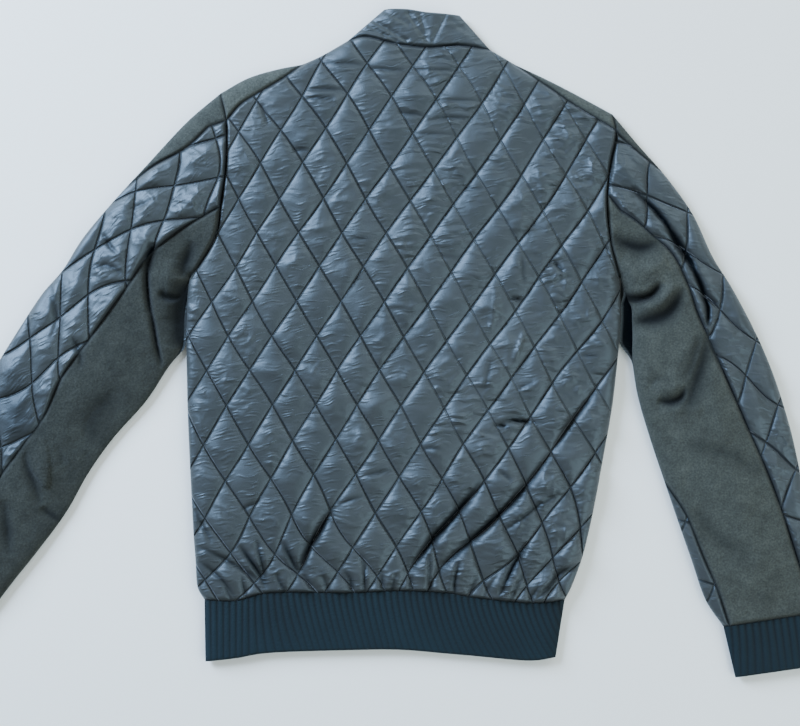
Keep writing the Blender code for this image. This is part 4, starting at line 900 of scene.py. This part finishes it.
for side, lines in (("left", left), ("right", right)):
    rows, cloth = sleeve_rows(side), sleeve_nylon[side]
    outer, inner, hole, last = rows[:, :2], rows[:, 2:4], lines["hole"], len(rows) - 1
    half_way, half_hole = last // 2, HOLE_STEPS // 2
    cap_share = np.where(rows[:, 4] > 0.012, rows[:, 4], 0)
    inner_share = np.where(rows[:, 6] < 0.988, rows[:, 6], 1)
    cap_end = int(np.argmax(cap_share[1:] == 0)) + 1
    strip_at = int(np.argmax(inner_share < 1)) - 1 if (inner_share < 1).any() else last
    seams = []
    shares = (cap_share, rows[:, 5], np.full(len(rows), 0.5), inner_share)
    for share, start in zip(shares, (lines["cap"], lines["back"], half_hole, -1)):
        seams.append(outer + (inner - outer) * share[:, None])
        seams[-1][0] = hole[start]
    cap, back, under, inseam = seams
    cap, inseam_shown, cap_hole = cap[: cap_end + 1], inseam[strip_at:], hole[: lines["cap"] + 1]
    cuff = np.array([outer[-1], inner[-1]])
    middle, cuff_end = (outer[half_way] + inner[half_way]) / 2, CUFF_ENDS[side]["inner"]
    edges = facing(middle, lines["top"], np.vstack([inner, cuff_end]))
    crown = {"flat_by": [cuff], "crown": SLEEVE_CROWN}

    outside, top = np.vstack([cap, outer[cap_end + 1 :]]), np.array([outer[-1], back[-1]])
    grid = patch(hole[lines["cap"] : lines["back"] + 1], top, outside, back, 64, 340)
    tucks = fold_relief(grid.reshape(-1, 2), SLEEVE_CREASES)
    part = sleeve_quilt(side, grid, edges, [hole, back, cap, cuff], 61, tucks=tucks, **crown)
    piece = wall_mesh(f"{side}_quilted_strip", [part], cloth, [f"sleeve_{side}_quilt"])

    inside = np.vstack([inner[: strip_at + 1], inseam[strip_at + 1 :]])
    grid = patch(hole[lines["back"] :], np.array([back[-1], inseam[-1]]), back, inside, 64, 300)
    folds, tucks = (fold_relief(grid.reshape(-1, 2), found) for found in (FOLDS, SLEEVE_CREASES))
    sewn = [hole, back, cuff] + ([inseam_shown] if strip_at < last else [])
    part = fleece_wall(grid, edges, sewn, 71, folds, tucks=tucks, **crown)
    nap = sleeve_fleece_painted_light_and_shade[side]
    piece = wall_mesh(f"{side}_fleece_strip", [part], nap, [f"sleeve_{side}_fleece"])

    grid = patch(hole[: half_hole + 1], np.array([outer[-1], under[-1]]), outer, under, 32, 150)
    low = under_wall(grid, edges, [hole, under, cuff], 81)
    grid = patch(cap_hole, outer[[cap_end, cap_end]], outer[: cap_end + 1], cap, 16, 64)
    turned = fleece_wall(grid, edges, [cap_hole, cap], 83, **crown)
    piece = wall_mesh(f"{side}_top_strip", [low, turned], fleece, [f"sleeve_{side}_top"])

    # At the armpit the lower cloth reaches towards the body; its upper face is painted in full shade
    gap = inner[:, 0] - np.interp(inner[:, 1], BODY["y"], BODY[side])
    slack = ARMPIT_SLACK[side] * np.exp(-(((inner[:, 1] - ARMPIT_Y) / ARMPIT_REACH) ** 4))
    slack = np.sign(gap) * np.clip(slack, 0, np.maximum(np.abs(gap) - 0.5, 0))
    low_edge = inner - np.column_stack([slack, np.zeros(len(inner))])
    low_edges = facing(middle, lines["top"], np.vstack([low_edge, cuff_end]))
    grid = patch(hole[half_hole:], np.array([under[-1], inner[-1]]), under, low_edge, 32, 150)
    parts = [under_wall(grid, low_edges, [hole, under, cuff], 91, np.full((grid[..., 0].size, 2), 0.5))]
    if strip_at < last:
        top = np.array([inseam[-1], inner[-1]])
        grid = patch(inner[[strip_at, strip_at]], top, inseam_shown, inner[strip_at:], 12, 120)
        parts.append(sleeve_quilt(side, grid, edges, [inseam_shown, cuff], 95, 0.5, **crown))
    piece = wall_mesh(f"{side}_inseam_strip", parts, cloth, [f"sleeve_{side}_inseam"])

# The hem and cuffs: bands of ribbed knit, each folded in two so that its free edge is a fold. The hem band
# is open at the zip, and the cuffs are closed tubes.
RIB_Z = 9.3
RIB_RISE = 1.1
RIB_COLOUR = hex_colour("#081318")
RIB_WORN = hex_colour("#0f2228")
# Painted shade, in the valleys between ribs and where the knit lies in shade
RIB_PAINTED_SHADE = hex_colour("#030709")
HEM_RIBS = 56
CUFF_RIBS = 14
RIB_LEAN = 0.045
BAND_GAP = 0.35


def rib_material(name):
    """Two-by-two rib knit in wool and elastane: matt, near-black teal, with painted shade in the valleys
    between ribs, lighter towards the fold, and where the marks say it lies in shade, with a grain of
    knitted loops."""
    settings = {"Roughness": 0.85, "IOR": 1.45, "Specular IOR Level": 0.3, "Sheen Weight": 0.05}
    material, tree, shader, place = new_material(name, settings)
    count, height, _, painted_shade = marks_in(tree)
    # Painted shade in the valleys between ribs, lighter towards the fold
    spread = maths(tree, "MULTIPLY_ADD", height, 0.16, maths(tree, "PINGPONG", count, 0.5))
    ribs = ranged(tree, spread, -0.12, 0.44, interpolation_type="SMOOTHSTEP")
    worn = mixed(tree, noise(tree, place, 14, 3), RIB_COLOUR, RIB_WORN)
    tone = mixed(tree, painted_shade, mixed(tree, ribs, RIB_PAINTED_SHADE, worn), RIB_PAINTED_SHADE)
    wire(shader, {"Base Color": tone, "Normal": bumped(tree, noise(tree, place, 480, 3), 0.6, 0.001)})
    return material


rib_knit = rib_material("rib knit")


def band_grid(seam, free, across, along):
    """A grid between a seam and a free edge, with straight ends."""
    return patch(seam, free, np.array([seam[0], free[0]]), np.array([seam[-1], free[-1]]), across, along)


def band_part(seam, free, edges, ribs, across, on_top):
    """One face of a band between its seam and its folded edge. Its ribs run from seam to fold, and on top
    they rise by rise * |sin(pi * place)|^0.8."""
    count = np.linspace(0, 1, 61)
    seam, free = along_line(seam, count), along_line(free, count)
    seam = seam + BAND_GAP * (free - seam) / np.linalg.norm(free - seam, axis=1)[:, None]
    grid = band_grid(seam, free, across, 28)
    places, heights = np.meshgrid(eased(across), eased(28), indexing="ij")
    # Away from the left the ribs lean, so that each ends further right at the fold than at the seam
    lean = np.clip((places - 0.12) / 0.15, 0, 1) + np.clip((places - 0.55) / 0.3, 0, 1)
    places = places - RIB_LEAN * lean * heights**1.3
    wave = RIB_RISE * np.abs(np.sin(math.pi * ribs * places)) ** 0.8 * (1 - 0.3 * heights)
    marks = np.column_stack([(places * ribs).ravel(), heights.ravel(), np.ones(places.size)])
    level, wave = (RIB_Z, wave.ravel()) if on_top else (None, 0.0)
    return wall_grids(grid, edges, [], level, wave, marks, folded=free)


hem_edges = facing((40.0, -315.0), left["low"], right["low"])
parts = [band_part(hem_seam, hem_free, hem_edges, HEM_RIBS, 448, True)]
for sign in (-1, 1):
    seam, free = cut_at_zip(hem_seam, sign), cut_at_zip(hem_free, sign)
    parts.append(band_part(seam, free, hem_edges, HEM_RIBS * 0.48, 100, False))
piece = wall_mesh("hem_band", parts, rib_knit, ["hem_rib"])

for side, lines in (("left", left), ("right", right)):
    rows, ends, share = sleeve_rows(side), CUFF_ENDS[side], np.linspace(0, 1, 29)[:, None]
    seam = rows[-1, :2] + (rows[-1, 2:4] - rows[-1, :2]) * share
    free = np.array(ends["outer"]) + np.subtract(ends["inner"], ends["outer"]) * share
    cuff_edges = facing((seam[14] + free[14]) / 2, lines["top"], np.vstack([rows[:, 2:4], ends["inner"]]))
    parts = [band_part(seam, free, cuff_edges, CUFF_RIBS, 112, on_top) for on_top in (True, False)]
    piece = wall_mesh(f"{side}_cuff", parts, rib_knit, [f"cuff_{side}"])

# The collar: a plain nylon stand collar, unquilted, lying flat with its free edge away from the body. Its
# back creases towards the middle, and its two front ends meet at the zip.
COLLAR_RISE = 2.0
NO_LINES = 1e4
COLLAR_FOLDS = table(
    "x0 y0 x1 y1 rise width",
    (64.5, 372.4, 82.8, 344.1, -2, 2.8), (77.1, 371.3, 86.2, 341.8, -1.6, 2.8),
    (105.6, 369.3, 91.8, 341.8, -1.4, 3), (24.9, 364.4, 62.2, 341.8, -2.8, 2.8),
    (20.6, 358.5, 50.7, 341.8, -2.4, 2.6), (10.2, 355.2, 37, 347.5, -1.8, 2.4),
    (39.2, 374, 64.5, 360, -1.2, 3.4), (43, 368, 72, 349, 1.1, 6), (93, 372, 90, 350, 0.8, 5),
    (112, 364, 142, 344, -1, 3.6),
)


def collar_relief(plan):
    """Sum over the collar's creases of rise * exp(-(distance / half width)^2), and soft crinkles."""
    x, y = plan.T
    total = 0.5 * crinkles(x, y, 41, 24, 8, 0.2) + 0.5 * soft_noise(x / 20, y / 12, 43)
    for x0, y0, x1, y1, rise, width in zip(*COLLAR_FOLDS.values()):
        far = nearest(plan, np.array([(x0, y0), (x1, y1)]))[0]
        total += rise * np.exp(-((far / width) ** 2))
    return total


plain_nylon = quilted_nylon("plain collar nylon", NO_LINES, 0.2)
neck_edges = facing((76.0, 350.0), left["top"], right["top"])
seam, free = neck_seam, collar_line("back", "free")
grid = band_grid(seam, free, 200, 52)
plan = grid.reshape(-1, 2)
rise, marks = COLLAR_RISE + collar_relief(plan), plain_marks(plan, np.full((len(plan), 2), 0.5))
parts = [wall_grids(grid, neck_edges, [seam], NYLON_Z, rise, marks, folded=free)]
for sign in (-1, 1):
    seam, free = cut_at_zip(neckline, sign), cut_at_zip(collar_line("front", "free"), sign)
    grid = band_grid(seam, free, 60, 28)
    unmarked = np.full((grid[..., 0].size, 2), 0.5)
    parts.append(under_wall(grid, neck_edges, [seam], 47, unmarked, folded=free))
piece = wall_mesh("stand_collar", parts, plain_nylon, ["collar"])

# The front zip: a woven tape each side, metal teeth that mesh, a box at the hem, and near the collar a
# slider that holds the teeth together. It is closed, lies underneath and was not in view.
TAPE = {"near": 2.9, "far": 15.9, "thick": 0.8, "z": 4.7}
CHAIN = {"wide": 5.2, "low": 3.5, "high": 5.9, "step": 3.0, "tooth": 1.34, "first": 14.5}
BOX = {"wide": 6.8, "long": 7.2, "y": 9.6, "over": 0.2}
SLIDER = {"wide": 9.0, "long": 12.0, "plate": 0.9, "under_z": 2.3, "over_z": 6.2}
BRIDGE = {"wide": 1.8, "long": 6.0, "low_z": 0.4, "bar": 0.6, "thick": 0.9}
TAB = {"wide": 7.0, "long": 27.0, "thick": 0.9, "z": 1.65, "frame": 0.35}
WINDOW = {"wide": 3.0, "long": 3.85}
chain_end = ZIP_LENGTH - 16


def rounded(half_wide, half_long, middle, power=4.0, count=32):
    """A rounded rectangle: |x / half width|^power + |y / half length|^power = 1, moved to its middle."""
    turn = np.linspace(0, 2 * math.pi, count, endpoint=False)
    way = np.column_stack([np.cos(turn), np.sin(turn)])
    return np.sign(way) * np.abs(way) ** (2 / power) * (half_wide, half_long) + middle


def lifted(outlines, heights):
    """Outlines as rings at these heights."""
    return np.stack([np.column_stack([ring, np.full(len(ring), z)]) for ring, z in zip(outlines, heights)])


def drawn_in(outline, by):
    """An outline made smaller by this much on every side."""
    middle = (outline.max(0) + outline.min(0)) / 2
    return middle + (outline - middle) * (1 - by / (np.ptp(outline, axis=0) / 2))


def plate(outline, low, high, bevel):
    """Rings of a flat plate whose rims are bevelled."""
    small = drawn_in(outline, bevel)
    return lifted([small, outline, outline, small], [low, low + bevel, high - bevel, high])


def fitting(name, stacks, material, nodes, body="jacket"):
    """Joins stacks of rings, given across, along and above the zip, into one piece. Quads join each ring to
    the next, and the last either has a cap, as the first has, or is joined to the first."""
    places, faces, start = [], [], 0
    for rings, closed in stacks:
        index = start + np.arange(rings[..., 0].size).reshape(rings.shape[:2])
        low = index if closed else index[:-1]
        high = np.roll(index, -1, 0) if closed else index[1:]
        quads = np.stack([low, np.roll(low, -1, 1), np.roll(high, -1, 1), high], axis=-1)
        faces.append(quads.reshape(-1, 4))
        if not closed:
            faces += [index[:1, ::-1], index[-1:]]
        places.append(rings.reshape(-1, 3))
        start = index.max() + 1
    x, y, z = np.vstack(places).T[..., None]
    places = np.column_stack([ZIP_LOW + x * ZIP_ACROSS + y * ZIP_ALONG, z])
    return finish_mesh(name, places, faces, np.zeros((start, 4)), [0, start], material, nodes, body)


def tape_material(name):
    """Woven polyester tape: matt, near black, with a rib at each 0.5 mm pick, drawn at 1.5 mm to show."""
    material, tree, shader, place = new_material(name, {"Roughness": 0.85, "IOR": 1.5, "Sheen Weight": 0.1})
    colour = mixed(tree, noise(tree, place, 90, 3), hex_colour("#0a0f12"), hex_colour("#182026"))
    links = {"Vector": place, "Scale": 105, "Distortion": 0.4}
    picks = add_node(tree, "TexWave", links, "Fac", bands_direction="Y")
    wire(shader, {"Base Color": colour, "Normal": bumped(tree, picks, 0.6, 0.0004)})
    return material


def metal_material(name):
    """Die-cast zinc plated in dark nickel and tumbled: a soft dark mirror, rubbed brighter in patches."""
    material, tree, shader, place = new_material(name, {"Metallic": 1, "Roughness": 0.34})
    colour = mixed(tree, noise(tree, place, 260, 4), hex_colour("#3a3c3f"), hex_colour("#6a6c6e"))
    wire(shader, {"Base Color": colour})
    return material


woven_tape = tape_material("woven zip tape")
dark_nickel = metal_material("dark nickel plate")
for side, sign in (("left", -1), ("right", 1)):
    middle, half = sign * (TAPE["near"] + TAPE["far"]) / 2, (TAPE["far"] - TAPE["near"]) / 2
    profile = rounded(half, TAPE["thick"] / 2, (middle, TAPE["z"]), 6.0, 24)
    steps = np.linspace(ZIP_LENGTH - 4, 4, 41)
    rings = np.stack([np.insert(profile, 1, y, axis=1) for y in steps])
    piece = fitting(f"{side}_zip_tape", [(rings, False)], woven_tape, [f"zip_tape_{side}"])

# Half a tooth's outline, from its foot on the tape to the middle of its hooked tip, mirrored for the rest
half_tooth, half_chain = CHAIN["tooth"] / 2, CHAIN["wide"] / 2
tooth = [(-half_chain, -1), (-1.1, -1), (-0.2, -0.6), (0.7, -1), (1, 0)]
tooth = np.array(tooth + [(x, -y) for x, y in tooth[-2::-1]]) * (1, half_tooth)
teeth = []
for outline, after in ((tooth, 0), (tooth[::-1] * (-1, 1), CHAIN["step"] / 2)):
    for y in np.arange(CHAIN["first"] + after, chain_end - 1, CHAIN["step"]):
        teeth.append((plate(outline + (0, y), CHAIN["low"], CHAIN["high"], 0.3), False))
box = rounded(BOX["wide"] / 2, BOX["long"] / 2, (0.0, BOX["y"]))
teeth.append((plate(box, CHAIN["low"] - BOX["over"], CHAIN["high"] + BOX["over"], 0.4), False))
fitting("zip_teeth", teeth, dark_nickel, ["zip_chain"])

# The slider: two plates with a post between them at the neck end, and a bridge that holds the tab
slider_end = chain_end + 3
slider_start = slider_end - SLIDER["long"]
outline = rounded(SLIDER["wide"] / 2, SLIDER["long"] / 2, (0.0, (slider_start + slider_end) / 2), 3.2)
outline[:, 0] *= 0.82 + 0.18 * (outline[:, 1] - slider_start) / SLIDER["long"]
plates_z = (SLIDER["under_z"], SLIDER["over_z"])
parts = [(plate(outline, z, z + SLIDER["plate"], 0.3), False) for z in plates_z]
post = rounded(1.5, 1.1, (0.0, slider_end - 1.4))
parts.append((plate(post, *np.add(plates_z, 0.4), 0.1), False))
bridge_start = slider_start + 2
turn = np.linspace(0, math.pi, 25)
rise, foot = SLIDER["under_z"] + 0.2, BRIDGE["long"] / 2
bow = np.column_stack([np.sign(np.cos(turn)) * np.abs(np.cos(turn)) ** 0.5, np.sin(turn) ** 0.5])
outside = (bridge_start + foot, rise) + bow * (foot, BRIDGE["low_z"] - rise)
low_z = BRIDGE["low_z"] + BRIDGE["bar"]
inside = (bridge_start + foot, rise) + bow * (foot - BRIDGE["thick"], low_z - rise)
section = rounded(BRIDGE["wide"] / 2, 0.5, (0.0, 0.5), 5.0, 16)
arch = inside[:, None] + (outside - inside)[:, None] * section[None, :, 1:]
arch = np.concatenate([np.broadcast_to(section[None, :, :1], (25, 16, 1)), arch], axis=2)
parts.append((arch, False))
fitting("zip_runner", parts, dark_nickel, ["zip_slider"])

# The pull tab: one stamped plate with a window, whose short side turns in the bridge
rod = bridge_start + BRIDGE["thick"] + 0.55
outer = rounded(TAB["wide"] / 2, TAB["long"] / 2, (0.0, rod + TAB["frame"] - TAB["long"] / 2), 5.0)
outer[:, 0] *= 1 - 0.18 * np.clip((outer[:, 1] - rod + 8) / 8, 0, 1)
window_y = rod - TAB["frame"] - WINDOW["long"] / 2
window = rounded(WINDOW["wide"] / 2, WINDOW["long"] / 2, (0.0, window_y), 3.0)
low, high, bevel = TAB["z"] - TAB["thick"] / 2, TAB["z"] + TAB["thick"] / 2, 0.2
rims = [drawn_in(outer, bevel), drawn_in(window, -bevel)]
outlines = [outer, outer, *rims, window, window, *rims[::-1]]
tab = lifted(outlines, [low + bevel, high - bevel, high, high, high - bevel, low + bevel, low, low])
fitting("zip_pull_tab", [(tab, True)], dark_nickel, ["zip_pull"], "pull_tab")

# The surface it lies on, a large soft light like a window's from the upper left, weaker ones from the lower
# and upper right, and a camera straight above, as the photograph was taken.
FLOOR_Z = -0.0006
floor_mesh = bpy.data.meshes.new("floor")
corners = [(-6, -6, FLOOR_Z), (6, -6, FLOOR_Z), (6, 6, FLOOR_Z), (-6, 6, FLOOR_Z)]
floor_mesh.from_pydata(corners, [], [(0, 1, 2, 3)])
floor = bpy.data.objects.new("floor", floor_mesh)
bpy.context.scene.collection.objects.link(floor)
paper = new_material("matt white paper", {"Base Color": hex_colour("#fff9ee"), "Roughness": 0.9})[0]
floor_mesh.materials.append(paper)


def soft_light(name, place, aim, size, power, colour):
    """A square lamp that faces a point."""
    lamp = bpy.data.lights.new(name, "AREA")
    lamp.size = size
    lamp.energy = power
    lamp.color = hex_colour(colour)[:3]
    holder = bpy.data.objects.new(name, lamp)
    holder.location = place
    away = np.subtract(place, aim)
    flat = math.hypot(away[0], away[1])
    holder.rotation_euler = (math.atan2(flat, away[2]), 0, math.atan2(away[1], away[0]) + math.pi / 2)
    bpy.context.scene.collection.objects.link(holder)


soft_light("window", (-1.75, 1.35, 1.2), (-0.1, 0, 0), 1.3, 250, "#b8d5fb")
soft_light("room", (2.1, -1.3, 1.7), (0.1, 0, 0), 2.4, 90, "#d3eaf6")
soft_light("wall", (1.6, 2.2, 1.6), (0.1, 0, 0), 2.0, 60, "#e0f0f8")
world = bpy.data.worlds.new("room light")
world.use_nodes = True
wire(world.node_tree.nodes["Background"], {"Color": hex_colour("#e0eef6"), "Strength": 0.4})
bpy.context.scene.world = world

CAMERA_HEIGHT = 2.2
JACKET_HEIGHT = 0.01
PHOTO_WIDTH = 0.896
SENSOR_WIDTH = 36
camera_data = bpy.data.cameras.new("camera")
camera_data.lens = SENSOR_WIDTH * (CAMERA_HEIGHT - JACKET_HEIGHT) / PHOTO_WIDTH
camera = bpy.data.objects.new("camera", camera_data)
camera.location = (0.0549, -0.0222, CAMERA_HEIGHT)
bpy.context.scene.collection.objects.link(camera)
bpy.context.scene.camera = camera
